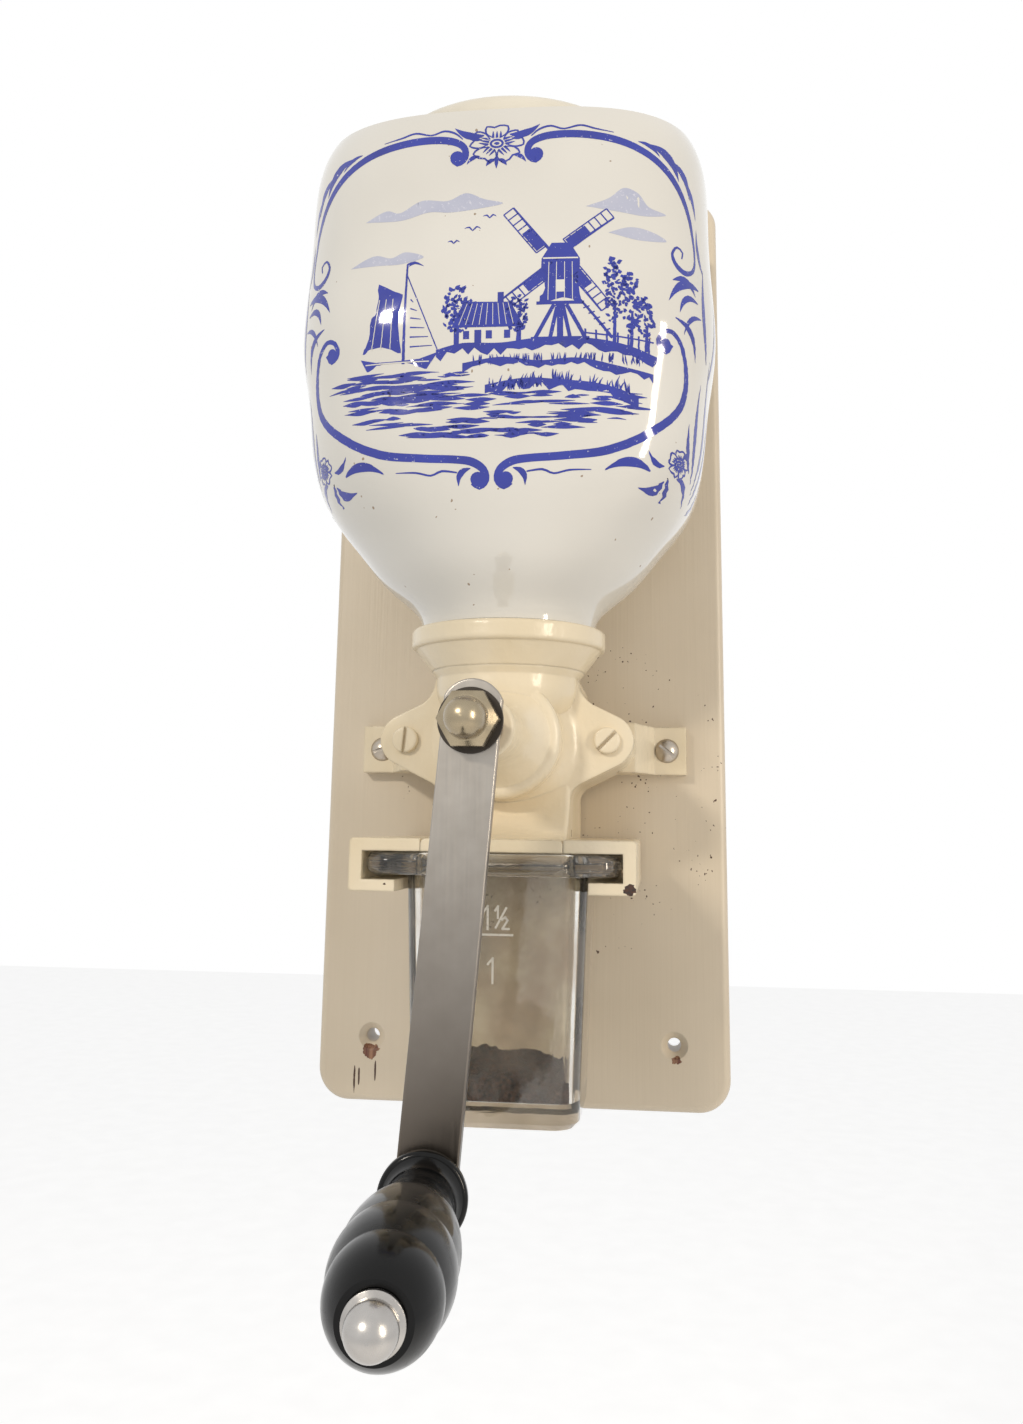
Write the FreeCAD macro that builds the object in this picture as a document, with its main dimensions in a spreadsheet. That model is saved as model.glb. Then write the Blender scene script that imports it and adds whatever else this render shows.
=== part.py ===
"""Wall mounted coffee mill: wooden board, two iron castings, china hopper, crank and glass cup.

Frame: millimetres, +X to the right as seen from the front, +Y into the wall, +Z up.
The origin is the middle of the four wall screw holes, on the back face of the board.
Depth means the distance in front of the board's front face, and rise means the height above the axle.
"""
import FreeCAD, Part
import math
import os
import re

import Sketcher
from FreeCAD import Placement, Rotation, Vector

SIZES = {
    # Board
    "board_width": 125.0,
    "board_height": 292.0,
    "board_thickness": 12.5,
    "board_corner": 9.5,
    "board_edge_round": 2.2,
    "wall_hole_across": 92.0,
    "wall_hole_upright": 254.0,
    "wall_hole_diameter": 4.0,
    "wall_hole_countersink": 8.0,
    # Clearances
    "slide_gap": 0.3,
    "running_gap": 0.05,
    "seat_gap": 0.02,
    # Rear casting, screwed to the board
    "axle_height": 106.0,
    "body_back": 2.0,
    "split_depth": 42.0,
    "drum_radius": 18.0,
    "drum_wall": 2.8,
    "rear_wall": 6.0,
    "chute_wall": 3.3,
    "lug_spacing": 56.0,
    "lug_radius": 7.2,
    "web_slope_below": 26.5,
    "web_slope_above": 26.0,
    "web_round_below": 5.0,
    "web_round_above": 8.0,
    "lug_screw_diameter": 4.0,
    "lug_head_radius": 3.6,
    "lug_head_height": 2.0,
    "lug_thread_depth": 12.0,
    "ear_screw_spacing": 89.0,
    "ear_height": 14.5,
    "ear_thickness": 5.0,
    "ear_margin": 6.0,
    "ear_pad": 9.8,
    "ear_rise_depth": 20.0,
    "ear_screw_diameter": 3.5,
    "ear_head_radius": 3.7,
    "ear_head_height": 2.2,
    "ear_screw_length": 16.0,
    "flange_drop": 26.6,
    "flange_thickness": 3.2,
    "rail_start": 3.0,
    "rail_reach": 74.0,
    "rail_wall": 3.3,
    "rail_corner": 1.0,
    "slot_height": 7.1,
    "lip_thickness": 2.9,
    # Bowl, neck and collar under the hopper
    "hopper_depth": 44.0,
    "neck_radius": 20.0,
    "neck_rise": 14.7,
    "bowl_rise": 4.0,
    "bowl_foot_radius": 11.0,
    "bowl_round": 11.0,
    "joint_rise": 19.0,
    "cone_rise": 17.0,
    "ledge_rise": 25.2,
    "collar_rise": 25.0,
    "collar_height": 5.5,
    "collar_radius": 27.3,
    "collar_bore": 24.6,
    "collar_round": 1.2,
    "casting_round": 1.2,
    "funnel_radius": 21.0,
    "throat_width": 20.0,
    "throat_front": 49.5,
    # Front casting with the horn that carries the crank
    "cover_plate": 6.0,
    "cover_wall": 3.3,
    "cover_gap": 0.15,
    "chamber_front": 50.0,
    "boss_radius": 16.2,
    "boss_depth": 61.5,
    "boss_round": 2.0,
    "boss_sweep": 4.5,
    "horn_base_radius": 13.4,
    "horn_radius": 7.6,
    "horn_depth": 91.0,
    "horn_straight": 14.0,
    "horn_sweep": 24.0,
    "skirt_depth": 69.5,
    "skirt_rise": -12.0,
    "skirt_sweep": 24.0,
    # Axle and grinding parts
    "axle_radius": 4.0,
    "axle_back": 4.0,
    "shoulder_depth": 83.0,
    "stud_radius": 3.0,
    "thread_radius": 2.5,
    "crank_square": 5.2,
    "bush_wall": 1.0,
    "spring_space_radius": 6.5,
    "spring_space_depth": 63.0,
    "spring_wire": 1.1,
    "spring_turns": 4.0,
    "sleeve_radius": 4.3,
    "sleeve_bore_gap": 0.3,
    "burr_back": 15.5,
    "burr_front": 30.0,
    "cone_back": 14.5,
    "cone_large_radius": 12.4,
    "cone_small_radius": 8.6,
    "burr_gap": 0.4,
    "burr_tooth": 1.0,
    "burr_teeth": 18.0,
    "burr_twist": 16.0,
    "burr_entry": 2.2,
    "pin_radius": 1.2,
    "pin_depth": 20.0,
    "lock_screw_radius": 1.6,
    "lock_screw_depth": 23.0,
    "feed_radius": 11.0,
    "feed_core_radius": 6.2,
    "feed_pitch": 10.5,
    "feed_blade": 2.6,
    "feed_front": 49.5,
    # Crank
    "crank_depth": 108.0,
    "crank_thickness": 2.8,
    "crank_width": 13.4,
    "crank_length": 100.0,
    "crank_head": 9.6,
    "crank_head_arch": 4.4,
    "crank_rest_angle": 4.5,
    "nut_across_flats": 12.2,
    "washer_radius": 7.5,
    "washer_thickness": 1.0,
    "nut_height": 6.0,
    "nut_dome_radius": 4.7,
    "nut_dome_height": 7.0,
    "nut_chamfer": 1.6,
    # Grip
    "grip_lean": 4.3,
    "grip_rod_radius": 3.0,
    "grip_washer_radius": 5.6,
    "grip_washer_thickness": 1.5,
    "grip_length": 65.0,
    "grip_collar_radius": 9.6,
    "grip_neck_radius": 7.4,
    "grip_belly_radius": 10.9,
    "grip_end_radius": 6.4,
    "cap_radius": 4.2,
    "rivet_radius": 4.6,
    "rivet_height": 1.4,
    # Glass cup
    "cup_height": 67.2,
    "cup_width": 47.6,
    "cup_foot_width": 43.0,
    "cup_wall": 3.0,
    "cup_base": 6.0,
    "cup_corner": 7.0,
    "cup_rim_width": 65.4,
    "cup_front": 76.0,
    "cup_rim_thickness": 5.6,
    # Hopper and lid
    "hopper_foot_radius": 24.3,
    "hopper_width": 116.0,
    "hopper_reach": 85.0,
    "hopper_height": 142.3,
    "hopper_wall": 4.6,
    "hopper_mouth_radius": 36.0,
    "bedding_thickness": 1.0,
    "lid_radius": 39.6,
    "lid_edge": 5.6,
    "lid_dome": 3.7,
    "lid_plug_depth": 6.0,
    "lid_wall": 2.0,
}

doc = FreeCAD.newDocument("coffee_mill")
sheet = doc.addObject("Spreadsheet::Sheet", "sheet")
for row, (alias, size) in enumerate(SIZES.items(), start=1):
    sheet.set("A%d" % row, str(size))
    sheet.setAlias("A%d" % row, alias)
doc.recompute()

ALIAS = "|".join(sorted(SIZES, key=len, reverse=True))


def bind(formula):
    """Turn the sheet's names in a formula into references to its cells."""
    return re.sub(r"\b(%s)\b" % ALIAS, r"sheet.\1", str(formula))


def value(formula):
    """Work a formula out with the sizes in the sheet."""
    return float(sheet.evalExpression(bind(formula)))


# Frames that the pieces are drawn in

AXLE_RISE = "axle_height - board_height / 2"


def place_at_axle(piece, turned="0"):
    """X to the right, Y up from the axle and Z outwards from the board's face."""
    swing = Rotation(Vector(0, 0, 1), -value(turned))
    piece.Placement = Placement(Vector(0, 0, 0), Rotation(Vector(1, 0, 0), 90).multiply(swing))
    piece.setExpression("Placement.Base.y", "-sheet.board_thickness")
    piece.setExpression("Placement.Base.z", bind(AXLE_RISE))


def place_upright(piece, rise, depth="hopper_depth"):
    """Z up, standing at a depth in front of the board and a rise above the axle."""
    piece.setExpression("Placement.Base.y", bind("-board_thickness - (%s)" % depth))
    piece.setExpression("Placement.Base.z", bind("%s + (%s)" % (AXLE_RISE, rise)))


def place_on_crank(piece):
    """Z outwards along the leaning grip rod, from the crank's front face."""
    lean = Rotation(Vector(0, 0, 1), value("grip_lean"))
    piece.Placement = Placement(Vector(0, 0, 0), lean.multiply(Rotation(Vector(1, 0, 0), 90)))
    piece.setExpression("Placement.Base.x", bind("-crank_length * sin(crank_rest_angle)"))
    piece.setExpression("Placement.Base.y", bind("-board_thickness - crank_depth - crank_thickness"))
    piece.setExpression("Placement.Base.z", bind("%s - crank_length * cos(crank_rest_angle)" % AXLE_RISE))


# Sketches and features


def new_body(label):
    body = doc.addObject("PartDesign::Body", label)
    body.Label = label
    return body


def origin_plane(body, role):
    return next(item for item in body.Origin.OriginFeatures if item.Role == role)


def draw_circle(sketch, circle):
    x, y, radius = circle
    shape = Part.Circle(Vector(value(x), value(y), 0), Vector(0, 0, 1), value(radius))
    number = sketch.addGeometry(shape, False)
    for kind, formula, point in (("DistanceX", x, 3), ("DistanceY", y, 3)):
        limit = Sketcher.Constraint(kind, -1, 1, number, point, value(formula))
        sketch.setExpression("Constraints[%d]" % sketch.addConstraint(limit), bind(formula))
    limit = Sketcher.Constraint("Radius", number, value(radius))
    sketch.setExpression("Constraints[%d]" % sketch.addConstraint(limit), bind(radius))


def arc_between(start, end, radius):
    """The short arc that turns left from start to end."""
    chord = end - start
    half = chord.Length / 2
    left = Vector(-chord.y, chord.x, 0).normalize()
    centre = (start + end) * 0.5 + left * math.sqrt(max(radius * radius - half * half, 0))
    spoke = start - centre
    first = math.atan2(spoke.y, spoke.x)
    sweep = 2 * math.asin(min(half / radius, 1.0))
    circle = Part.Circle(centre, Vector(0, 0, 1), radius)
    return Part.ArcOfCircle(circle, first, first + sweep)


def draw_loop(sketch, corners):
    """Join corners (x, y) in a loop. A third entry is the radius of the arc that ends there,
    turning left where it is a plain formula and right where it starts with a minus sign."""
    points = [Vector(value(corner[0]), value(corner[1]), 0) for corner in corners]
    sides = []
    for index, start in enumerate(points):
        follow = (index + 1) % len(points)
        bend = corners[follow][2] if len(corners[follow]) > 2 else None
        if bend is None:
            number = sketch.addGeometry(Part.LineSegment(start, points[follow]), False)
            sides.append((number, 1, 2))
            continue
        right = bend.startswith("-")
        radius = bend.lstrip("-")
        ends = (points[follow], start) if right else (start, points[follow])
        number = sketch.addGeometry(arc_between(ends[0], ends[1], value(radius)), False)
        sides.append((number, 2, 1) if right else (number, 1, 2))
        limit = Sketcher.Constraint("Radius", number, value(radius))
        sketch.setExpression("Constraints[%d]" % sketch.addConstraint(limit), bind(radius))
    for index, (number, first, last) in enumerate(sides):
        follow = sides[(index + 1) % len(sides)]
        sketch.addConstraint(Sketcher.Constraint("Coincident", number, last, follow[0], follow[1]))
        for kind, formula in (("DistanceX", corners[index][0]), ("DistanceY", corners[index][1])):
            limit = Sketcher.Constraint(kind, -1, 1, number, first, value(formula))
            sketch.setExpression("Constraints[%d]" % sketch.addConstraint(limit), bind(formula))


def draw(body, name, role, loops=(), circles=(), shift=("0", "0", "0")):
    """A sketch of closed loops and circles on one of the body's own planes, moved by shift."""
    sketch = body.newObject("Sketcher::SketchObject", name)
    sketch.AttachmentSupport = [(origin_plane(body, role), "")]
    sketch.MapMode = "FlatFace"
    for letter, formula in zip("xyz", shift):
        sketch.setExpression("AttachmentOffset.Base.%s" % letter, bind(formula))
    for corners in loops:
        draw_loop(sketch, corners)
    for circle in circles:
        draw_circle(sketch, circle)
    return sketch


def pad(body, sketch, length, reverse=False, middle=False):
    feature = body.newObject("PartDesign::Pad", sketch.Name + "_pad")
    feature.Profile = sketch
    feature.setExpression("Length", bind(length))
    feature.Reversed = reverse
    feature.Midplane = middle
    return feature


def pocket(body, sketch, length, reverse=False, middle=False):
    """Cut along the sketch's own outward side, or into it where reverse is set."""
    doc.recompute()
    before = body.Shape.Volume
    feature = body.newObject("PartDesign::Pocket", sketch.Name + "_pocket")
    feature.Profile = sketch
    feature.setExpression("Length", bind(length))
    feature.Reversed = reverse
    feature.Midplane = middle
    doc.recompute()
    if not body.Shape.Volume < before - 1e-6:
        raise ValueError("%s cuts nothing" % feature.Name)
    return feature


def turn(body, sketch, axis="H_Axis"):
    feature = body.newObject("PartDesign::Revolution", sketch.Name + "_turned")
    feature.Profile = sketch
    feature.ReferenceAxis = (sketch, [axis])
    feature.Angle = 360.0
    return feature


def bore(body, sketch, axis="H_Axis"):
    """Turn the sketch about an axis and cut it away."""
    doc.recompute()
    before = body.Shape.Volume
    feature = body.newObject("PartDesign::Groove", sketch.Name + "_bored")
    feature.Profile = sketch
    feature.ReferenceAxis = (sketch, [axis])
    feature.Angle = 360.0
    doc.recompute()
    if not body.Shape.Volume < before - 1e-6:
        raise ValueError("%s cuts nothing" % feature.Name)
    return feature


def round_edges(body, name, radius, wanted, kind="PartDesign::Fillet"):
    """Round or bevel the edges of the body's last feature that the wanted function picks."""
    doc.recompute()
    base = body.Tip
    picked = ["Edge%d" % (n + 1) for n, edge in enumerate(base.Shape.Edges) if wanted(edge)]
    if not picked:
        raise ValueError("%s has no edges" % name)
    feature = body.newObject(kind, name)
    feature.Base = (base, picked)
    feature.setExpression("Radius" if kind.endswith("Fillet") else "Size", bind(radius))
    return feature


def runs_along(edge, axis):
    """True for a straight edge along one of the body's axes, x, y or z."""
    if edge.Curve.TypeId != "Part::GeomLine":
        return False
    way = edge.tangentAt(edge.FirstParameter)
    return abs(abs(getattr(way, axis)) - 1) < 1e-6


def lies_at(edge, axis, place):
    """True where the whole edge lies at one place along an axis."""
    box = edge.BoundBox
    low = getattr(box, axis.upper() + "Min")
    high = getattr(box, axis.upper() + "Max")
    return abs(low - place) < 1e-4 and abs(high - place) < 1e-4


# Board


def make_board():
    body = new_body("back_board")
    wide, tall, corner = "board_width / 2", "board_height / 2", "board_corner"
    loop = [("-%s" % wide, "-%s + %s" % (tall, corner)),
            ("-%s + %s" % (wide, corner), "-%s" % tall, corner),
            ("%s - %s" % (wide, corner), "-%s" % tall),
            (wide, "-%s + %s" % (tall, corner), corner),
            (wide, "%s - %s" % (tall, corner)),
            ("%s - %s" % (wide, corner), tall, corner),
            ("-%s + %s" % (wide, corner), tall),
            ("-%s" % wide, "%s - %s" % (tall, corner), corner)]
    pad(body, draw(body, "board_outline", "XZ_Plane", [loop]), "board_thickness")
    front = -value("board_thickness")
    round_edges(body, "board_edges", "board_edge_round", lambda edge: lies_at(edge, "y", front))
    spots = [(x, z) for x in ("-wall_hole_across / 2", "wall_hole_across / 2")
             for z in ("-wall_hole_upright / 2", "wall_hole_upright / 2")]
    holes = draw(body, "wall_holes", "XZ_Plane", circles=[(x, z, "wall_hole_diameter / 2") for x, z in spots])
    pocket(body, holes, "board_thickness * 2", middle=True)
    pilots = draw(body, "ear_pilots", "XZ_Plane", shift=("0", "0", "board_thickness"),
                  circles=[(x, AXLE_RISE, "ear_screw_diameter / 2 + running_gap")
                           for x in ("-ear_screw_spacing / 2", "ear_screw_spacing / 2")])
    pocket(body, pilots, "(ear_screw_length - ear_thickness + slide_gap) * 2", middle=True)
    for n, (x, z) in enumerate(spots):
        cone = [("0", "0"), ("0", "wall_hole_countersink / 2"), ("wall_hole_countersink / 2", "0")]
        bore(body, draw(body, "countersink_%d" % (n + 1), "YZ_Plane", [cone], shift=("-board_thickness", z, x)))
    return body


# Rear casting, screwed to the board


def web(wide, slope, rounding, side):
    """Corners of the web from a lug in to the body's side: at the lug, past the round, on the side."""
    lug_x = "(lug_spacing / 2 + lug_radius * sin(%s))" % slope
    lug_y = "(lug_radius * cos(%s))" % slope
    meet_y = "(%s + (%s - %s) * tan(%s))" % (lug_y, lug_x, wide, slope)
    length = "(%s * tan((90 - %s) / 2))" % (rounding, slope)
    return [(lug_x, "%s * %s" % (side, lug_y)),
            ("(%s + %s * cos(%s))" % (wide, length, slope),
             "%s * (%s - %s * sin(%s))" % (side, meet_y, length, slope)),
            (wide, "%s * (%s + %s)" % (side, meet_y, length))]


def casting_outline():
    """Front view of both castings: square body with two round lugs on tapering webs."""
    at_lug, past_round, on_body = web("drum_radius", "web_slope_below", "web_round_below", "-1")
    up_lug, up_round, up_body = web("neck_radius", "web_slope_above", "web_round_above", "1")
    tip = ("lug_spacing / 2 + lug_radius", "0")
    right = [("drum_radius", "-flange_drop"), on_body, past_round + ("-web_round_below",), at_lug,
             tip + ("lug_radius",), up_lug + ("lug_radius",), up_round, up_body + ("-web_round_above",),
             ("neck_radius", "cone_rise")]
    left = []
    for here, before in zip(right[::-1], [None] + right[::-1]):
        bend = before[2:] if before else ()
        left.append(("-(%s)" % here[0], here[1]) + bend)
    return right + left


def add_rails(body):
    """Flange under the chute with the two C-shaped rails that hold the cup's rim."""
    wide, slot = "cup_rim_width / 2 + slide_gap + rail_wall", "cup_rim_width / 2 + slide_gap"
    mouth = "cup_width / 2 + 2 * slide_gap"
    roof = "-flange_drop - flange_thickness"
    lip = "%s - slot_height" % roof
    foot = "%s - lip_thickness" % lip
    loop = [("-(%s)" % wide, "-flange_drop"), ("-(%s)" % wide, foot), ("-(%s)" % mouth, foot),
            ("-(%s)" % mouth, lip), ("-(%s)" % slot, lip), ("-(%s)" % slot, roof), (slot, roof), (slot, lip),
            (mouth, lip), (mouth, foot), (wide, foot), (wide, "-flange_drop")]
    pad(body, draw(body, "rails", "XY_Plane", [loop], shift=("0", "0", "rail_start")), "rail_reach - rail_start")
    edge_x = value(wide)
    round_edges(body, "rail_corners", "rail_corner",
                lambda edge: runs_along(edge, "z") and (lies_at(edge, "x", edge_x) or lies_at(edge, "x", -edge_x))
                and abs(edge.Length - value("rail_reach - rail_start")) < 1e-3)


def make_rear_casting():
    body = new_body("rear_casting")
    place_at_axle(body)
    block = [("-drum_radius", "-flange_drop"), ("drum_radius", "-flange_drop"), ("drum_radius", "0"),
             ("0", "drum_radius", "drum_radius"), ("-drum_radius", "0", "drum_radius")]
    pad(body, draw(body, "block", "XY_Plane", [block], shift=("0", "0", "body_back")), "split_depth - body_back")
    pad(body, draw(body, "lugs", "XY_Plane", [casting_outline()], shift=("0", "0", "ear_thickness")),
        "split_depth - ear_thickness")
    reach, pad_inner = "ear_screw_spacing / 2 + ear_margin", "ear_screw_spacing / 2 + ear_margin - ear_pad"
    bar = [("-(%s)" % reach, "0"), (reach, "0"), (reach, "ear_thickness"), (pad_inner, "ear_thickness"),
           ("lug_spacing / 2 + lug_radius", "ear_rise_depth"), ("-lug_spacing / 2 - lug_radius", "ear_rise_depth"),
           ("-(%s)" % pad_inner, "ear_thickness"), ("-(%s)" % reach, "ear_thickness")]
    pad(body, draw(body, "ears", "XZ_Plane", [bar]), "ear_height", middle=True)
    side = "sqrt(neck_radius^2 - (hopper_depth - split_depth)^2)"
    half = [("-%s" % side, "split_depth"), ("0", "hopper_depth - neck_radius", "neck_radius"),
            (side, "split_depth", "neck_radius")]
    pad(body, draw(body, "stem", "XZ_Plane", [half]), "joint_rise - cover_gap", reverse=True)
    add_rails(body)
    cut_rear_casting(body)
    return body


def cut_rear_casting(body):
    """Burr chamber, bearing hole, bean throat, chute, outlet and screw holes."""
    inner = "drum_radius - drum_wall"
    back = "body_back + rear_wall"
    chamber = draw(body, "chamber", "XY_Plane", circles=[("0", "0", inner)], shift=("0", "0", "split_depth"))
    pocket(body, chamber, "split_depth - (%s)" % back)
    bearing = draw(body, "rear_bearing", "XY_Plane", circles=[("0", "0", "axle_radius + running_gap + bush_wall")],
                   shift=("0", "0", "split_depth"))
    pocket(body, bearing, "split_depth - axle_back")
    throat = draw(body, "throat", "XZ_Plane", circles=[("0", "hopper_depth", "throat_width / 2")])
    pocket(body, throat, "joint_rise")
    side, roof = "drum_radius - chute_wall", "sqrt(drum_radius^2 - (drum_radius - chute_wall)^2)"
    under = "-flange_drop - flange_thickness - 1"
    shaft = [("-(%s)" % side, under), (side, under), (side, "-%s" % roof), ("0", "-drum_radius", "-drum_radius"),
             ("-(%s)" % side, "-%s" % roof, "-drum_radius")]
    chute = draw(body, "chute", "XY_Plane", [shaft], shift=("0", "0", "split_depth"))
    pocket(body, chute, "split_depth - body_back - chute_wall")
    outlet = draw(body, "outlet", "XY_Plane", shift=("0", "0", "burr_back - 1"),
                  loops=[[("-throat_width / 2", "-drum_radius"), ("throat_width / 2", "-drum_radius"),
                          ("throat_width / 2", "-axle_radius * 2"), ("-throat_width / 2", "-axle_radius * 2")]])
    pocket(body, outlet, "burr_back - 1 - (%s)" % back)
    notch = "drum_radius + cover_gap"
    bay = [("-(%s)" % notch, under), (notch, under), (notch, "-flange_drop + 1"), ("-(%s)" % notch, "-flange_drop + 1")]
    pocket(body, draw(body, "tongue_bay", "XY_Plane", [bay], shift=("0", "0", "rail_reach + 1")),
           "rail_reach + 1 - split_depth")
    screws = draw(body, "lug_holes", "XY_Plane", shift=("0", "0", "split_depth"),
                  circles=[(x, "0", "lug_screw_diameter / 2 + running_gap") for x in ("-lug_spacing / 2",
                                                                                       "lug_spacing / 2")])
    pocket(body, screws, "lug_thread_depth")
    ears = draw(body, "ear_holes", "XY_Plane", shift=("0", "0", "ear_thickness * 2"),
                circles=[(x, "0", "ear_screw_diameter / 2 + running_gap") for x in ("-ear_screw_spacing / 2",
                                                                                     "ear_screw_spacing / 2")])
    pocket(body, ears, "ear_thickness * 2 + 1")
    lock = draw(body, "lock_hole", "XZ_Plane", circles=[("0", "lock_screw_depth", "lock_screw_radius + running_gap")])
    pocket(body, lock, "drum_radius + 1", reverse=True)


# Front casting, with the horn and the hopper's collar


def make_front_casting():
    body = new_body("front_casting")
    place_at_axle(body)
    pad(body, draw(body, "plate", "XY_Plane", [casting_outline()], shift=("0", "0", "split_depth")), "cover_plate")
    add_skirt(body)
    add_horn(body)
    add_neck(body)
    cut_front_casting(body)
    return body


def cone_radius(rise):
    """Radius of the cone between neck and collar ring at a rise."""
    return "(neck_radius + (collar_radius - collar_round - neck_radius) * (%s - cone_rise) " \
           "/ (collar_rise - cone_rise))" % rise


def add_neck(body):
    """Bowl and neck, turned about the upright line through the hopper."""
    neck = [("bowl_rise", "0"), ("bowl_rise", "bowl_foot_radius"), ("neck_rise", "neck_radius", "-bowl_round"),
            ("cone_rise", "neck_radius"), ("joint_rise", cone_radius("joint_rise")), ("joint_rise", "0")]
    turn(body, draw(body, "neck", "YZ_Plane", [neck], shift=("0", "hopper_depth", "0")))


def make_collar():
    """Upper part of the front casting: cone, collar ring and the funnel inside, a ring of its own here."""
    body = new_body("hopper_collar")
    place_upright(body, "0")
    top = "collar_rise + collar_height"
    ring = [("throat_width / 2", "joint_rise"), (cone_radius("joint_rise"), "joint_rise"),
            ("collar_radius - collar_round", "collar_rise"),
            ("collar_radius", "collar_rise + collar_round", "collar_round"),
            ("collar_radius", "%s - collar_round" % top),
            ("collar_radius - collar_round", top, "collar_round"), ("collar_bore", top),
            ("collar_bore", "ledge_rise"), ("funnel_radius", "ledge_rise")]
    turn(body, draw_turned(body, "collar_outline", [ring]), "V_Axis")


def add_horn(body):
    """Drum front, boss and horn, turned about the axle."""
    straight = "horn_depth - horn_straight"
    plate = "split_depth + cover_plate"
    outline = [("0", "split_depth"), ("drum_radius", "split_depth"),
               ("drum_radius", "%s - casting_round" % plate), ("boss_radius + boss_sweep", plate),
               ("boss_radius", "%s + boss_sweep" % plate, "-boss_sweep * 1.4"),
               ("boss_radius", "boss_depth - boss_round"),
               ("boss_radius - boss_round", "boss_depth", "boss_round"), ("horn_base_radius", "boss_depth"),
               ("horn_radius", straight, "-horn_sweep"), ("horn_radius", "horn_depth - 1"),
               ("horn_radius - 1", "horn_depth", "1"), ("0", "horn_depth")]
    turn(body, draw(body, "horn", "YZ_Plane", [outline]), "V_Axis")


def add_skirt(body):
    """The lower body that sweeps out to the flange's front edge."""
    sweep = [("-drum_radius / 2", "split_depth"), ("-drum_radius / 2", "split_depth + cover_plate"),
             ("skirt_rise", "split_depth + cover_plate"), ("-flange_drop", "skirt_depth", "-skirt_sweep"),
             ("-flange_drop", "rail_reach"), ("-flange_drop - flange_thickness", "rail_reach"),
             ("-flange_drop - flange_thickness", "split_depth")]
    pad(body, draw(body, "skirt", "YZ_Plane", [sweep]), "2 * drum_radius", middle=True)
    side = value("drum_radius")
    round_edges(body, "skirt_edges", "casting_round",
                lambda edge: (lies_at(edge, "x", side) or lies_at(edge, "x", -side))
                and edge.BoundBox.ZMax > value("split_depth + cover_plate") + 0.1
                and edge.BoundBox.YMin > value("-flange_drop") - 0.1)


def cut_front_casting(body):
    """Space for the rear casting, bean chamber, horn bore, chute and screw holes."""
    behind = "neck_radius * 2"
    rear = [("-%s" % behind, "0"), (behind, "0"), (behind, "joint_rise + 1"), ("-%s" % behind, "joint_rise + 1")]
    pocket(body, draw(body, "rear_room", "XY_Plane", [rear], shift=("0", "0", "split_depth")), "split_depth")
    above = [("-%s" % behind, "joint_rise"), (behind, "joint_rise"), (behind, behind), ("-%s" % behind, behind)]
    pocket(body, draw(body, "collar_room", "XY_Plane", [above], shift=("0", "0", "boss_depth")), "boss_depth")
    inner = "drum_radius - drum_wall"
    pocket(body, draw(body, "bean_chamber", "XY_Plane", circles=[("0", "0", inner)], shift=("0", "0", "chamber_front")),
           "chamber_front - split_depth")
    bend = "throat_width / 2"
    seam = "split_depth - 1"
    near = "sqrt((%s)^2 - (hopper_depth - (%s))^2)" % (bend, seam)
    far = "sqrt((%s)^2 - (throat_front - hopper_depth)^2)" % bend
    mouth = [("-%s" % near, seam, bend), (near, seam), (far, "throat_front", bend), ("-%s" % far, "throat_front")]
    pocket(body, draw(body, "cover_throat", "XZ_Plane", [mouth]), "joint_rise + 1")
    for name, start, end, radius in (
            ("spring_space", "chamber_front", "spring_space_depth", "spring_space_radius"),
            ("bush_bore", "spring_space_depth", "shoulder_depth", "axle_radius + running_gap + bush_wall"),
            ("sleeve_bore", "shoulder_depth", "horn_depth", "sleeve_radius + sleeve_bore_gap")):
        sketch = draw(body, name, "XY_Plane", circles=[("0", "0", radius)], shift=("0", "0", end))
        pocket(body, sketch, "%s - %s" % (end, start))
    wall = "cover_wall"
    under = "-flange_drop - flange_thickness - 1"
    hollow = [(under, "split_depth - 1"), ("-drum_radius", "split_depth - 1"),
              ("-drum_radius", "split_depth + cover_plate"),
              ("-flange_drop", "skirt_depth - %s" % wall, "-skirt_sweep"), (under, "skirt_depth - %s" % wall)]
    pocket(body, draw(body, "cover_chute", "YZ_Plane", [hollow]), "2 * (drum_radius - chute_wall)", middle=True)
    screws = draw(body, "cover_screw_holes", "XY_Plane", shift=("0", "0", "split_depth + cover_plate"),
                  circles=[(x, "0", "lug_screw_diameter / 2 + 5 * running_gap")
                           for x in ("-lug_spacing / 2", "lug_spacing / 2")])
    pocket(body, screws, "cover_plate")


# Axle and what turns with it, or carries it


def turned_piece(label, *outlines, turned="0"):
    """A piece turned about the axle from closed outlines of (radius, depth) corners."""
    body = new_body(label)
    place_at_axle(body, turned)
    turn(body, draw_turned(body, label + "_outline", outlines), "V_Axis")
    return body


def draw_turned(body, name, outlines):
    """Outlines of (radius, depth) corners on the plane through the axle."""
    return draw(body, name, "XZ_Plane", outlines)


def cap_radius_of(half, height):
    """Radius of the ball whose cap has this half width and height."""
    return "((%s)^2 + (%s)^2) / (2 * (%s))" % (half, height, height)


def ring_outline(inner, outer, start, end):
    return [(inner, start), (outer, start), (outer, end), (inner, end)]


def square_flats(half, far):
    """Four blocks that leave a square of half width between them."""
    flats = []
    for near, outer in ((half, far), ("-%s" % half, "-%s" % far)):
        flats.append([("-%s" % far, near), (far, near), (far, outer), ("-%s" % far, outer)])
    return flats, [[(y, x) for x, y in flat] for flat in flats]


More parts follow.
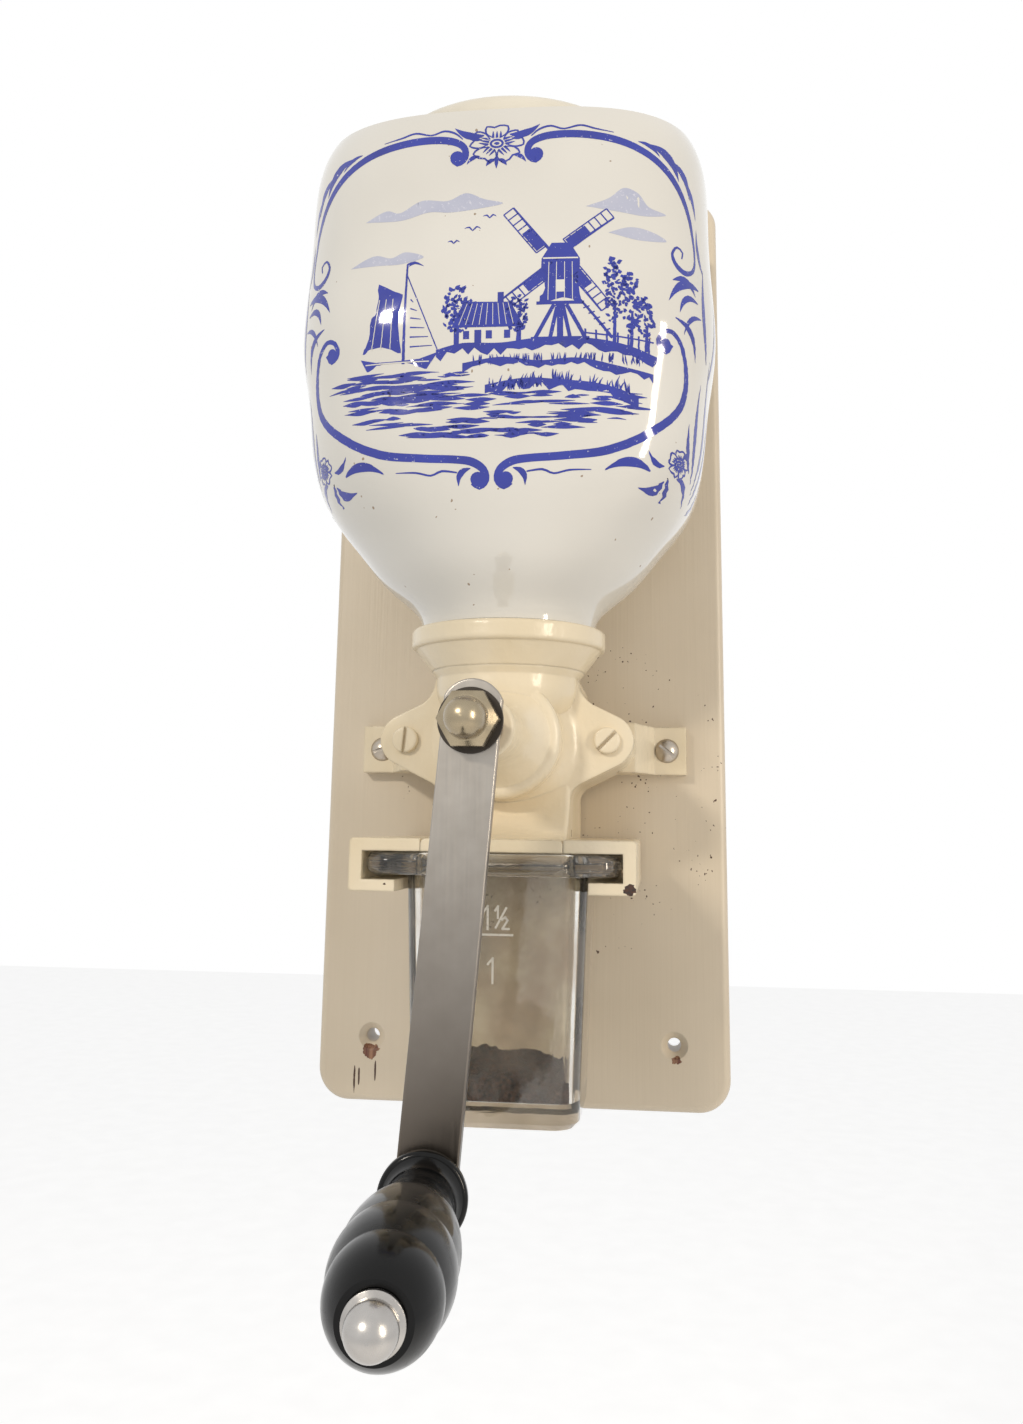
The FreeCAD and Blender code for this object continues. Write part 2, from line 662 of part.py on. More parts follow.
def make_spindle():
    """Axle with its shoulder, the square for the crank and the thread for the nut."""
    square_end = "crank_depth + crank_thickness"
    thread_end = "%s + washer_thickness + nut_height + nut_dome_height / 2 - slide_gap" % square_end
    start = "axle_back + slide_gap"
    profile = [("0", start), ("axle_radius - 1", start), ("axle_radius", "%s + 1" % start),
               ("axle_radius", "shoulder_depth"), ("stud_radius", "shoulder_depth"), ("stud_radius", square_end),
               ("thread_radius", square_end), ("thread_radius", "%s - 1" % thread_end),
               ("thread_radius - 1", thread_end), ("0", thread_end)]
    body = turned_piece("spindle", profile, turned="crank_rest_angle")
    for name, flats in zip(("square_sides", "square_ends"), square_flats("crank_square / 2", "axle_radius * 2")):
        sketch = draw(body, name, "XY_Plane", flats, shift=("0", "0", square_end))
        pocket(body, sketch, "crank_thickness")
    pin = draw(body, "pin_hole", "YZ_Plane", circles=[("0", "pin_depth", "pin_radius + seat_gap")])
    pocket(body, pin, "axle_radius * 3", middle=True)
    return body


def make_bushes():
    inner, outer = "axle_radius + running_gap", "axle_radius + running_gap + bush_wall - seat_gap"
    turned_piece("rear_bush", ring_outline(inner, outer, "axle_back", "body_back + rear_wall"))
    turned_piece("front_bush", ring_outline(inner, outer, "spring_space_depth", "shoulder_depth - slide_gap"))


def make_sleeve():
    """Adjusting sleeve: it is screwed on the spindle and bears on the end of the front bush."""
    return turned_piece("adjusting_sleeve", ring_outline("stud_radius + seat_gap", "sleeve_radius",
                                                         "shoulder_depth", "crank_depth"))


def make_nut():
    """Acorn nut: a hexagon with its corners turned off, under a round dome."""
    base = "crank_depth + crank_thickness + washer_thickness"
    corner = "nut_across_flats / sqrt(3)"
    shoulder = "%s + nut_height" % base
    tip = "%s + nut_dome_height" % shoulder
    waist = "%s + nut_dome_height * 0.5" % shoulder
    crown = [("0", base), (corner + " - nut_chamfer / 2", base), (corner, base + " + nut_chamfer / 2"),
             (corner, "%s - nut_chamfer" % shoulder), ("nut_dome_radius + slide_gap", shoulder),
             ("nut_dome_radius", shoulder), ("nut_dome_radius * 0.94", waist, "nut_dome_radius * 2"),
             ("0", tip, cap_radius_of("nut_dome_radius * 0.94", "nut_dome_height * 0.5"))]
    body = turned_piece("acorn_nut", crown)
    side, half = "nut_across_flats / sqrt(3)", "nut_across_flats / 2"
    hexagon = [(side, "0"), ("%s / 2" % side, half), ("-%s / 2" % side, half), ("-%s" % side, "0"),
               ("-%s / 2" % side, "-%s" % half), ("%s / 2" % side, "-%s" % half)]
    flats = draw(body, "nut_flats", "XY_Plane", [hexagon], circles=[("0", "0", "nut_across_flats")],
                 shift=("0", "0", shoulder))
    pocket(body, flats, "nut_height")
    hole = draw(body, "nut_thread", "XY_Plane", circles=[("0", "0", "thread_radius + seat_gap")],
                shift=("0", "0", "%s + nut_dome_height / 2" % shoulder))
    pocket(body, hole, "nut_height + nut_dome_height / 2")
    return body


def make_washer():
    start = "crank_depth + crank_thickness"
    return turned_piece("nut_washer", ring_outline("thread_radius + seat_gap", "washer_radius",
                                                   start, "%s + washer_thickness" % start))


def make_burr_ring():
    """Fixed ring burr: a cylinder with a toothed, tapered and twisted bore."""
    outer = value("drum_radius - drum_wall - seat_gap")
    start, end = value("burr_back"), value("burr_front")
    shell = Part.makeCylinder(outer, end - start, Vector(0, 0, start))
    wide = value("cone_large_radius + burr_tooth + burr_gap")
    narrow = value("cone_small_radius + burr_tooth + burr_gap + burr_entry")
    cutter = toothed_cone(start - 1, end + 1, wide, narrow, value("burr_tooth"))
    return add_shape("burr_ring", shell.cut(cutter))


def toothed_cone(start, end, radius_start, radius_end, tooth):
    """A tapered plug with slanting saw teeth, twisted along its length."""
    count = int(value("burr_teeth"))
    twist = math.radians(value("burr_twist"))
    wires = []
    for depth, radius, turned in ((start, radius_start, 0.0), (end, radius_end, twist)):
        points = []
        for n in range(count):
            step = 2 * math.pi / count
            for share, size in ((0.0, radius), (0.3, radius - tooth)):
                angle = turned + (n + share) * step
                points.append(Vector(size * math.cos(angle), size * math.sin(angle), depth))
        wires.append(Part.makePolygon(points + points[:1]))
    return Part.makeLoft(wires, True, True)


def add_shape(label, shape, turned="0"):
    """A piece with a shape of its own, drawn at the axle."""
    piece = doc.addObject("Part::Feature", label)
    piece.Label = label
    piece.Shape = shape
    place_at_axle(piece, turned)
    return piece


def make_burr_cone():
    """Turning burr: toothed cone with the hole for the spindle and its cross pin."""
    start, end = value("cone_back"), value("burr_front")
    cone = toothed_cone(start, end, value("cone_large_radius"), value("cone_small_radius"), value("burr_tooth"))
    hole = Part.makeCylinder(value("axle_radius + seat_gap"), end, Vector(0, 0, 0))
    pin = pin_shape(value("pin_radius + seat_gap"), value("cone_large_radius") * 3)
    return add_shape("burr_cone", cone.cut(hole).cut(pin), "crank_rest_angle")


def pin_shape(radius, length):
    start = Vector(-length / 2, 0, value("pin_depth"))
    return Part.makeCylinder(radius, length, start, Vector(1, 0, 0))


def make_burr_pin():
    length = 2 * (value("cone_small_radius") - value("burr_tooth"))
    return add_shape("burr_pin", pin_shape(value("pin_radius"), length), "crank_rest_angle")


def make_feed_screw():
    """Feed worm: a sleeve on the spindle with one helical blade that moves the beans to the burrs."""
    start = value("burr_front + seat_gap")
    end = value("feed_front")
    core = value("feed_core_radius")
    outer = value("feed_radius")
    blade = value("feed_blade")
    sleeve = Part.makeCylinder(core, end - start, Vector(0, 0, start))
    pitch = value("feed_pitch")
    turns_length = end - start - blade - 1
    helix = Part.makeHelix(pitch, turns_length, core)
    helix.translate(Vector(0, 0, start + blade / 2 + 0.5))
    foot = start + blade / 2 + 0.5
    corners = [Vector(core - 1, 0, foot - blade / 2), Vector(outer, 0, foot - blade / 4),
               Vector(outer, 0, foot + blade / 4), Vector(core - 1, 0, foot + blade / 2)]
    section = Part.makePolygon(corners + corners[:1])
    worm = Part.Wire(helix).makePipeShell([section], True, True)
    hole = Part.makeCylinder(value("axle_radius + seat_gap"), end + 1, Vector(0, 0, 0))
    return add_shape("feed_screw", sleeve.fuse(worm).cut(hole))


def make_spring():
    """Pressure spring in the foot of the horn."""
    wire = value("spring_wire") / 2
    start = value("feed_front + seat_gap") + wire
    end = value("spring_space_depth - slide_gap") - wire
    middle = value("axle_radius + slide_gap") + wire
    helix = Part.makeHelix((end - start) / value("spring_turns"), end - start, middle)
    helix.translate(Vector(0, 0, start))
    section = Part.Wire(Part.Circle(Vector(middle, 0, start), Vector(0, 1, 0), wire).toShape())
    return add_shape("pressure_spring", Part.Wire(helix).makePipeShell([section], True, True))


def make_lock_screw():
    """Headless screw that holds the ring burr from below."""
    top = value("drum_radius - drum_wall")
    screw = Part.makeCylinder(value("lock_screw_radius"), value("drum_wall"),
                              Vector(0, -top - value("seat_gap"), value("lock_screw_depth")), Vector(0, -1, 0))
    return add_shape("burr_lock_screw", screw)


def make_crank():
    """Flat steel arm with a square hole at the spindle and a round one for the grip rod."""
    body = new_body("crank_arm")
    place_at_axle(body, "crank_rest_angle")
    half, arch = "crank_width / 2", cap_radius_of("crank_width / 2", "crank_head_arch")
    outline = [("-%s" % half, "-crank_length"), ("0", "-crank_length - crank_width / 2", half),
               (half, "-crank_length", half), (half, "crank_head - crank_head_arch"),
               ("0", "crank_head", arch), ("-%s" % half, "crank_head - crank_head_arch", arch)]
    pad(body, draw(body, "arm_outline", "XY_Plane", [outline], shift=("0", "0", "crank_depth")), "crank_thickness")
    front = value("crank_depth + crank_thickness")
    round_edges(body, "arm_edge", "crank_thickness / 6", lambda edge: lies_at(edge, "z", front))
    side = "crank_square / 2 + seat_gap"
    square = [("-(%s)" % side, "-(%s)" % side), (side, "-(%s)" % side), (side, side), ("-(%s)" % side, side)]
    holes = draw(body, "arm_holes", "XY_Plane", [square], shift=("0", "0", "crank_depth + crank_thickness"),
                 circles=[("0", "-crank_length", "grip_rod_radius + slide_gap")])
    pocket(body, holes, "crank_thickness")
    return body


# Grip, drawn along its rod from the crank's front face


def rod_piece(label, outline):
    body = new_body(label)
    place_on_crank(body)
    turn(body, draw_turned(body, label + "_outline", [outline]), "V_Axis")
    return body


def make_grip():
    start = "grip_washer_thickness + slide_gap"
    end = "%s + grip_length" % start
    hole = "grip_rod_radius + running_gap"
    outline = [(hole, start), ("grip_collar_radius - 1.2", start),
               ("grip_collar_radius", "%s + 1.2" % start, "1.2"), ("grip_collar_radius", "%s + 2" % start),
               ("grip_collar_radius - 1", "%s + 3" % start, "1"),
               ("grip_neck_radius", "%s + 8" % start, "-6"),
               ("(grip_neck_radius + grip_belly_radius) / 2", "%s + grip_length * 0.34" % start, "-grip_length"),
               ("grip_belly_radius", "%s + grip_length * 0.62" % start, "grip_length * 0.8"),
               ("grip_belly_radius * 0.93", "%s + grip_length * 0.82" % start, "grip_length * 0.42"),
               ("grip_end_radius", end, "grip_length * 0.24"), (hole, end)]
    return rod_piece("grip", outline)


def make_grip_rod():
    """Rod riveted through the crank, with a round head at the back."""
    back = "(-crank_thickness - rivet_radius * sin(grip_lean) - seat_gap) / cos(grip_lean)"
    end = "grip_washer_thickness + 2 * slide_gap + grip_length + cap_radius"
    outline = [("0", "%s - rivet_height" % back), ("rivet_radius * 0.6", "%s - rivet_height" % back),
               ("rivet_radius", back, "rivet_radius"), ("grip_rod_radius", back), ("grip_rod_radius", end),
               ("0", end)]
    return rod_piece("grip_rod", outline)


def make_grip_washer():
    start = "grip_washer_radius * sin(grip_lean) + running_gap"
    return rod_piece("grip_washer", ring_outline("grip_rod_radius + seat_gap", "grip_washer_radius",
                                                 start, "grip_washer_thickness"))


def make_grip_cap():
    """Round steel nut that closes the end of the rod."""
    base = "grip_washer_thickness + 2 * slide_gap + grip_length"
    reach = "(cap_radius * 1.4)"
    outline = [("grip_rod_radius + seat_gap", base), ("cap_radius + 1", base),
               ("cap_radius + 1", "%s + 0.8" % base), ("cap_radius", "%s + 1.2" % base),
               ("0", "%s + 1.2 + %s" % (base, reach), cap_radius_of("cap_radius", reach)),
               ("0", "%s + cap_radius + seat_gap" % base), ("grip_rod_radius + seat_gap", "%s + cap_radius + seat_gap" % base)]
    return rod_piece("grip_cap", outline)


# Screws


def slotted_screw(head_radius, head_height, shank_radius, length, slot_angle, domed):
    """A slotted screw along -Z from its head's seat, with its head above."""
    if domed:
        ball = (head_radius ** 2 + head_height ** 2) / (2 * head_height)
        head = Part.makeSphere(ball, Vector(0, 0, head_height - ball))
        head = head.common(Part.makeCylinder(head_radius, head_height, Vector(0, 0, 0)))
    else:
        head = Part.makeCylinder(head_radius, head_height)
        head = head.makeFillet(head_height * 0.3, [edge for edge in head.Edges if edge.BoundBox.ZMin > 1e-3
                                                   and edge.Curve.TypeId == "Part::GeomCircle"])
    slot = Part.makeBox(head_radius * 2.2, head_radius * 0.24, head_height,
                        Vector(-head_radius * 1.1, -head_radius * 0.12, head_height * 0.5))
    slot.rotate(Vector(0, 0, 0), Vector(0, 0, 1), slot_angle)
    point = min(shank_radius, length / 4)
    shank = Part.makeCylinder(shank_radius, length - point, Vector(0, 0, point - length))
    tip = Part.makeCone(shank_radius * 0.3, shank_radius, point, Vector(0, 0, -length))
    return head.cut(slot).fuse([shank, tip]).removeSplitter()


def screw_pair(label, spacing, depth, angles, sizes, domed):
    """Two equal screws, one at each side of the axle."""
    screws = []
    for side, angle in zip((-1, 1), angles):
        screw = slotted_screw(*[value(size) for size in sizes], angle, domed)
        screw.translate(Vector(side * value(spacing) / 2, 0, value(depth)))
        screws.append(screw)
    return add_shape(label, Part.makeCompound(screws))


def make_screws():
    screw_pair("cover_screws", "lug_spacing", "split_depth + cover_plate", (85, 45),
               ("lug_head_radius", "lug_head_height", "lug_screw_diameter / 2",
                "cover_plate + lug_thread_depth - 1"), False)
    screw_pair("ear_screws", "ear_screw_spacing", "ear_thickness", (20, -38),
               ("ear_head_radius", "ear_head_height", "ear_screw_diameter / 2", "ear_screw_length"), True)


# Glass cup


def rounded_square(half, corner):
    """A square with round corners, about the middle."""
    inner = "%s - %s" % (half, corner)
    return [("-(%s)" % half, "-(%s)" % inner), ("-(%s)" % inner, "-(%s)" % half, corner),
            (inner, "-(%s)" % half), (half, "-(%s)" % inner, corner), (half, inner), (inner, half, corner),
            ("-(%s)" % inner, half), ("-(%s)" % half, inner, corner)]


def loft(body, name, sketches, cut=False):
    kind = "PartDesign::SubtractiveLoft" if cut else "PartDesign::AdditiveLoft"
    feature = body.newObject(kind, name)
    feature.Profile = sketches[0]
    feature.Sections = sketches[1:]
    feature.Ruled = True
    body.Tip = feature
    return feature


def cup_section(body, name, half, height, corner="cup_corner"):
    """Round-cornered square section of the cup at one height."""
    return draw(body, name, "XY_Plane", [rounded_square("(%s)" % half, corner)], shift=("0", "0", height))


def make_cup():
    """Pressed glass cup: tapered square body, thick base and a wide rim that hangs in the rails."""
    body = new_body("glass_cup")
    place_upright(body, "-flange_drop - flange_thickness - slide_gap - cup_height",
                  "cup_front - cup_rim_width / 2")
    bevel = "cup_wall * 0.5"
    walls = [cup_section(body, "cup_foot", "cup_foot_width / 2 - " + bevel, "0", "(cup_corner - cup_wall * 0.5)"),
             cup_section(body, "cup_foot_edge", "cup_foot_width / 2", bevel),
             cup_section(body, "cup_top", "cup_width / 2", "cup_height - cup_rim_thickness / 2")]
    loft(body, "cup_walls", walls)
    rim = cup_section(body, "cup_rim", "cup_rim_width / 2", "cup_height - cup_rim_thickness")
    pad(body, rim, "cup_rim_thickness")
    beyond = value("cup_width / 2") + 1
    round_edges(body, "rim_bead", "cup_rim_thickness * 0.42",
                lambda edge: edge.BoundBox.ZLength < 1e-6 and edge.BoundBox.ZMin > value("cup_base")
                and max(abs(edge.CenterOfMass.x), abs(edge.CenterOfMass.y)) > beyond)
    inner_corner = "(cup_corner - cup_wall)"
    floor_half = "cup_foot_width / 2 - cup_wall + (cup_width - cup_foot_width) / 2 * cup_base / cup_height"
    inside = [cup_section(body, "inside_floor", floor_half, "cup_base", inner_corner),
              cup_section(body, "inside_mouth", "cup_width / 2 - cup_wall", "cup_height + 0.01", inner_corner)]
    loft(body, "cup_inside", inside, cut=True)
    return body


# Hopper and lid

HOPPER_SHAPE = (
    # Share of the height, share of half the width, share of half the reach, squareness
    (0.033, 0.424, 0.578, 2.0),
    (0.052, 0.432, 0.590, 2.0),
    (0.092, 0.528, 0.690, 2.0),
    (0.148, 0.670, 0.826, 2.1),
    (0.212, 0.794, 0.910, 2.3),
    (0.272, 0.890, 0.956, 2.7),
    (0.330, 0.938, 0.974, 3.0),
    (0.485, 0.984, 0.992, 3.3),
    (0.730, 1.000, 1.000, 3.4),
    (0.900, 0.988, 0.992, 3.3),
    (0.965, 0.970, 0.978, 3.1),
    (1.000, 0.940, 0.952, 3.0),
)


def oval_section(height, half_width, half_reach, squareness):
    """A closed smooth curve between an ellipse and a rectangle."""
    points = []
    steps = 32
    for n in range(steps):
        angle = 2 * math.pi * n / steps
        x, y = math.cos(angle), math.sin(angle)
        points.append(Vector(half_width * math.copysign(abs(x) ** (2 / squareness), x),
                             half_reach * math.copysign(abs(y) ** (2 / squareness), y), height))
    curve = Part.BSplineCurve()
    curve.interpolate(Points=points, PeriodicFlag=True)
    return Part.Wire(curve.toShape())


def make_hopper():
    """China hopper: a hollow oval jar with a round foot in the collar and a round mouth."""
    height, wall = value("hopper_height"), value("hopper_wall")
    half_width, half_reach = value("hopper_width") / 2, value("hopper_reach") / 2
    foot = value("hopper_foot_radius")
    outer, inner = [], []
    for share, width, reach, squareness in HOPPER_SHAPE:
        outer.append(oval_section(share * height, width * half_width, reach * half_reach, squareness))
        level = min(share * height + wall * 0.4, height - wall * 1.1)
        if share < 1:
            inner.append(oval_section(level, width * half_width - wall, reach * half_reach - wall, squareness))
    jar = Part.makeLoft(outer, True, False)
    hollow = Part.makeLoft(inner, True, False)
    stem = Part.makeCylinder(foot, HOPPER_SHAPE[0][0] * height + 0.4)
    hole = Part.makeCylinder(foot - wall, HOPPER_SHAPE[0][0] * height + wall)
    mouth = Part.makeCylinder(value("hopper_mouth_radius"), wall * 4, Vector(0, 0, height - wall * 3))
    piece = doc.addObject("Part::Feature", "hopper")
    piece.Label = "hopper"
    piece.Shape = jar.fuse(stem).cut(hollow).cut(hole).cut(mouth)
    place_upright(piece, "ledge_rise + bedding_thickness")
    return piece


def make_bedding():
    body = new_body("hopper_bedding")
    place_upright(body, "ledge_rise")
    ring = draw(body, "bedding", "XY_Plane", circles=[("0", "0", "funnel_radius - 1"),
                                                      ("0", "0", "collar_bore - slide_gap")])
    pad(body, ring, "bedding_thickness")
    return body


def make_lid():
    body = new_body("hopper_lid")
    place_upright(body, "ledge_rise + bedding_thickness + hopper_height + slide_gap")
    plug = "hopper_mouth_radius - 2 * slide_gap"
    edge_round = "lid_edge * 0.55"
    top = "lid_edge + lid_dome"
    outline = [("0", "lid_edge - lid_wall"), ("%s - lid_wall" % plug, "lid_edge - lid_wall"),
               ("%s - lid_wall" % plug, "-lid_plug_depth"), (plug, "-lid_plug_depth"), (plug, "0"),
               ("lid_radius", "0"), ("lid_radius", "lid_edge - %s" % edge_round),
               ("lid_radius - %s" % edge_round, "lid_edge", edge_round),
               ("0", top, cap_radius_of("lid_radius - %s" % edge_round, "lid_dome"))]
    turn(body, draw_turned(body, "lid_outline", [outline]), "V_Axis")
    return body


MAKERS = (make_board, make_rear_casting, make_front_casting, make_collar, make_spindle, make_bushes, make_sleeve, make_nut,
          make_washer, make_burr_ring, make_burr_cone, make_burr_pin, make_feed_screw, make_spring,
          make_lock_screw, make_crank, make_grip, make_grip_rod, make_grip_washer, make_grip_cap,
          make_screws, make_cup, make_hopper, make_bedding, make_lid)


def write_parts():
    """Check every object, then write each sub-part to its file."""
    doc.recompute()
    for item in doc.Objects:
        if "Invalid" in item.State or "Error" in item.State:
            raise ValueError("%s failed: %s" % (item.Name, item.State))
    pieces = [item for item in doc.Objects if item.TypeId in ("PartDesign::Body", "Part::Feature")
              and item.getParentGeoFeatureGroup() is None]
    os.makedirs("parts", exist_ok=True)
    for piece in pieces:
        shape = piece.Shape
        if shape.isNull() or not shape.isValid():
            raise ValueError("%s has no valid shape" % piece.Label)
        shape.exportStep("parts/%s.step" % piece.Label)
        print("%-18s %2d solid(s) %9.1f mm3" % (piece.Label, len(shape.Solids), shape.Volume))


for make in MAKERS:
    make()
write_parts()
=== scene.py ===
# %% [markdown]
# # Wall mounted coffee mill
# The shapes of this mill come from its solid model, which is loaded as a fixed frame. This lesson
# dresses it: paint, china, steel and glass are made as procedural materials, and the blue print, the
# marks on the cup and the ground coffee are small meshes of their own.

import math
import random

import bpy
from mathutils import Matrix, Vector, noise
from mathutils.bvhtree import BVHTree
from mathutils.geometry import delaunay_2d_cdt


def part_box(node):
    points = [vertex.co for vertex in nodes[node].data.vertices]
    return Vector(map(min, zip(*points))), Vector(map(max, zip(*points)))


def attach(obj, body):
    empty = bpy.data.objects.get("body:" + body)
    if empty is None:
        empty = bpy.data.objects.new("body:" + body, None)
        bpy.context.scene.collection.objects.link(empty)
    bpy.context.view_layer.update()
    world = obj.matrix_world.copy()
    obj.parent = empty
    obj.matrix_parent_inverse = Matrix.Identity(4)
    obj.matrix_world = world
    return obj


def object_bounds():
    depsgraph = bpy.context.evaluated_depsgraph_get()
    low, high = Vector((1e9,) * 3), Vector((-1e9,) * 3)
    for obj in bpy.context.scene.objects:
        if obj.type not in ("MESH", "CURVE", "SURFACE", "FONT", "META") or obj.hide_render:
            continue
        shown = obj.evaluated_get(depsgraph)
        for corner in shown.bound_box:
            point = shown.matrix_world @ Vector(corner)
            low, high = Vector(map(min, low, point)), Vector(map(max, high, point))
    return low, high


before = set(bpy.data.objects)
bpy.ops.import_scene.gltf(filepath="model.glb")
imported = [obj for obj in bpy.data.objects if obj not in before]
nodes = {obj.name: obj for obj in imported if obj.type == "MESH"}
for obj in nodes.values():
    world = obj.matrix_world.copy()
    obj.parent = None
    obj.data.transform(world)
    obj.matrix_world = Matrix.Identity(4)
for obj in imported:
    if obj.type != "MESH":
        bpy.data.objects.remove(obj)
cad_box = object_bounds()
MM = 0.001
print("loaded", len(nodes), "solids, box in mm:", [[round(v / MM, 1) for v in corner] for corner in cad_box])

# %% [markdown]
# ## Small helpers
# A colour is written the way a paint chart gives it, as an sRGB hex value, and Blender wants linear
# numbers. A material is a chain of nodes, so one function adds any node, sets what is the same
# everywhere and links what varies.

# %% Colour and node helpers


def linear(code, alpha=1.0):
    """An sRGB hex colour as linear red, green, blue and alpha."""
    channels = [int(code[n:n + 2], 16) / 255 for n in (1, 3, 5)]
    return tuple(c / 12.92 if c <= 0.04045 else ((c + 0.055) / 1.055) ** 2.4 for c in channels) + (alpha,)


def add(material, kind, links=None, **settings):
    """Adds a node. A setting is a node property or the value of an input; links go from outputs to inputs."""
    made = material.node_tree.nodes.new("ShaderNode" + kind)
    for name, setting in settings.items():
        if hasattr(made, name):
            setattr(made, name, setting)
    for key, setting in settings.items():
        label = key.replace("_", " ")
        if not hasattr(made, key):
            made.inputs[int(key[1:]) if key[1:].isdigit() else label].default_value = setting
    for key, socket in (links or {}).items():
        material.node_tree.links.new(socket, made.inputs[key])
    return made


def start(name):
    """A new material with only its output node."""
    material = bpy.data.materials.new(name)
    material.use_nodes = True
    material.node_tree.nodes.clear()
    return material


def finish_with(material, shader):
    """Links the shader to the material's output."""
    add(material, "OutputMaterial", {"Surface": shader.outputs[0]})
    return material


def ramp(material, factor, stops):
    """A colour ramp through (place, colour) stops."""
    made = add(material, "ValToRGB", {0: factor})
    elements = made.color_ramp.elements
    while len(elements) < len(stops):
        elements.new(0.5)
    for element, (place, colour) in zip(elements, stops):
        element.position = place
        element.color = colour
    return made.outputs[0]


def grey(level):
    return (level, level, level, 1.0)


def mix(material, factor, first, second):
    """Colour mix of two sockets or fixed colours."""
    made = add(material, "Mix", data_type="RGBA")
    for socket, value in ((made.inputs[0], factor), (made.inputs[6], first), (made.inputs[7], second)):
        if isinstance(value, (float, tuple)):
            socket.default_value = value
        else:
            material.node_tree.links.new(value, socket)
    return made.outputs[2]


def maths(material, operation, first, second=0.0):
    """One sum on sockets or numbers."""
    made = add(material, "Math", operation=operation)
    for socket, value in zip(made.inputs, (first, second)):
        if isinstance(value, (float, int)):
            socket.default_value = value
        else:
            material.node_tree.links.new(value, socket)
    return made.outputs[0]


def place_in_mm(material, stretch=(1.0, 1.0, 1.0)):
    """The point on the piece in millimetres, stretched along the axes."""
    point = add(material, "TexCoord").outputs["Object"]
    return add(material, "Mapping", {"Vector": point},
               Scale=[1000 / s for s in stretch]).outputs[0]


def speckle(material, point, grain_mm, detail=2.0, roughness=0.5):
    """Cloudy noise whose blots are about grain_mm across."""
    return add(material, "TexNoise", {"Vector": point}, Scale=1 / grain_mm, Detail=detail,
               Roughness=roughness).outputs[0]


def bump(material, height, depth_mm, edge=None):
    """Surface relief of that depth, on top of a rounded edge if one is given."""
    links = {"Height": height}
    if edge is not None:
        links["Normal"] = edge
    return add(material, "Bump", links, Strength=1.0, Distance=depth_mm * MM).outputs[0]


def soft_edge(material, radius_mm):
    """Normal that makes sharp edges look rounded."""
    return add(material, "Bevel", samples=4, Radius=radius_mm * MM).outputs[0]


# %% [markdown]
# ## Paint
# The board and the castings wear old cream enamel, put on with a brush. Brushed enamel levels out to a
# soft gloss, keeps faint strokes, and chips where screws and the cup have knocked it. The board shows
# bare softwood there, and the castings show dark iron with some rust.

# %% Cream enamel


def near(material, centre_mm, reach_mm, ragged_mm, point):
    """1 close to a place, 0 away from it, with a ragged border."""
    away = add(material, "VectorMath", {0: point}, operation="DISTANCE")
    away.inputs[1].default_value = centre_mm
    jagged = speckle(material, point, ragged_mm, 3.0)
    border = maths(material, "MULTIPLY_ADD", jagged, ragged_mm * 2)
    distance = maths(material, "ADD", away.outputs["Value"], border)
    return maths(material, "LESS_THAN", distance, reach_mm + ragged_mm)


def crack(material, point, centre_mm, reach_mm):
    """1 in a thin upright crack of the paint, which follows the grain of the wood."""
    slim = add(material, "VectorMath", {0: point}, operation="MULTIPLY")
    slim.inputs[1].default_value = (1.0, 1.0, 0.3 / reach_mm)
    wander = add(material, "TexNoise", {"Vector": point}, Scale=0.5, Detail=1.0)
    sway = add(material, "MapRange", {0: wander.outputs[0]})
    sway.inputs["To Min"].default_value = 0.0
    sway.inputs["To Max"].default_value = 0.3
    away = add(material, "VectorMath", {0: slim.outputs[0]}, operation="DISTANCE")
    away.inputs[1].default_value = (centre_mm[0], centre_mm[1], centre_mm[2] * 0.3 / reach_mm)
    return maths(material, "LESS_THAN", maths(material, "ADD", away.outputs["Value"], sway.outputs[0]), 0.45)


def any_of(material, *masks):
    """The largest of several masks."""
    total = masks[0]
    for mask in masks[1:]:
        total = maths(material, "MAXIMUM", total, mask)
    return total


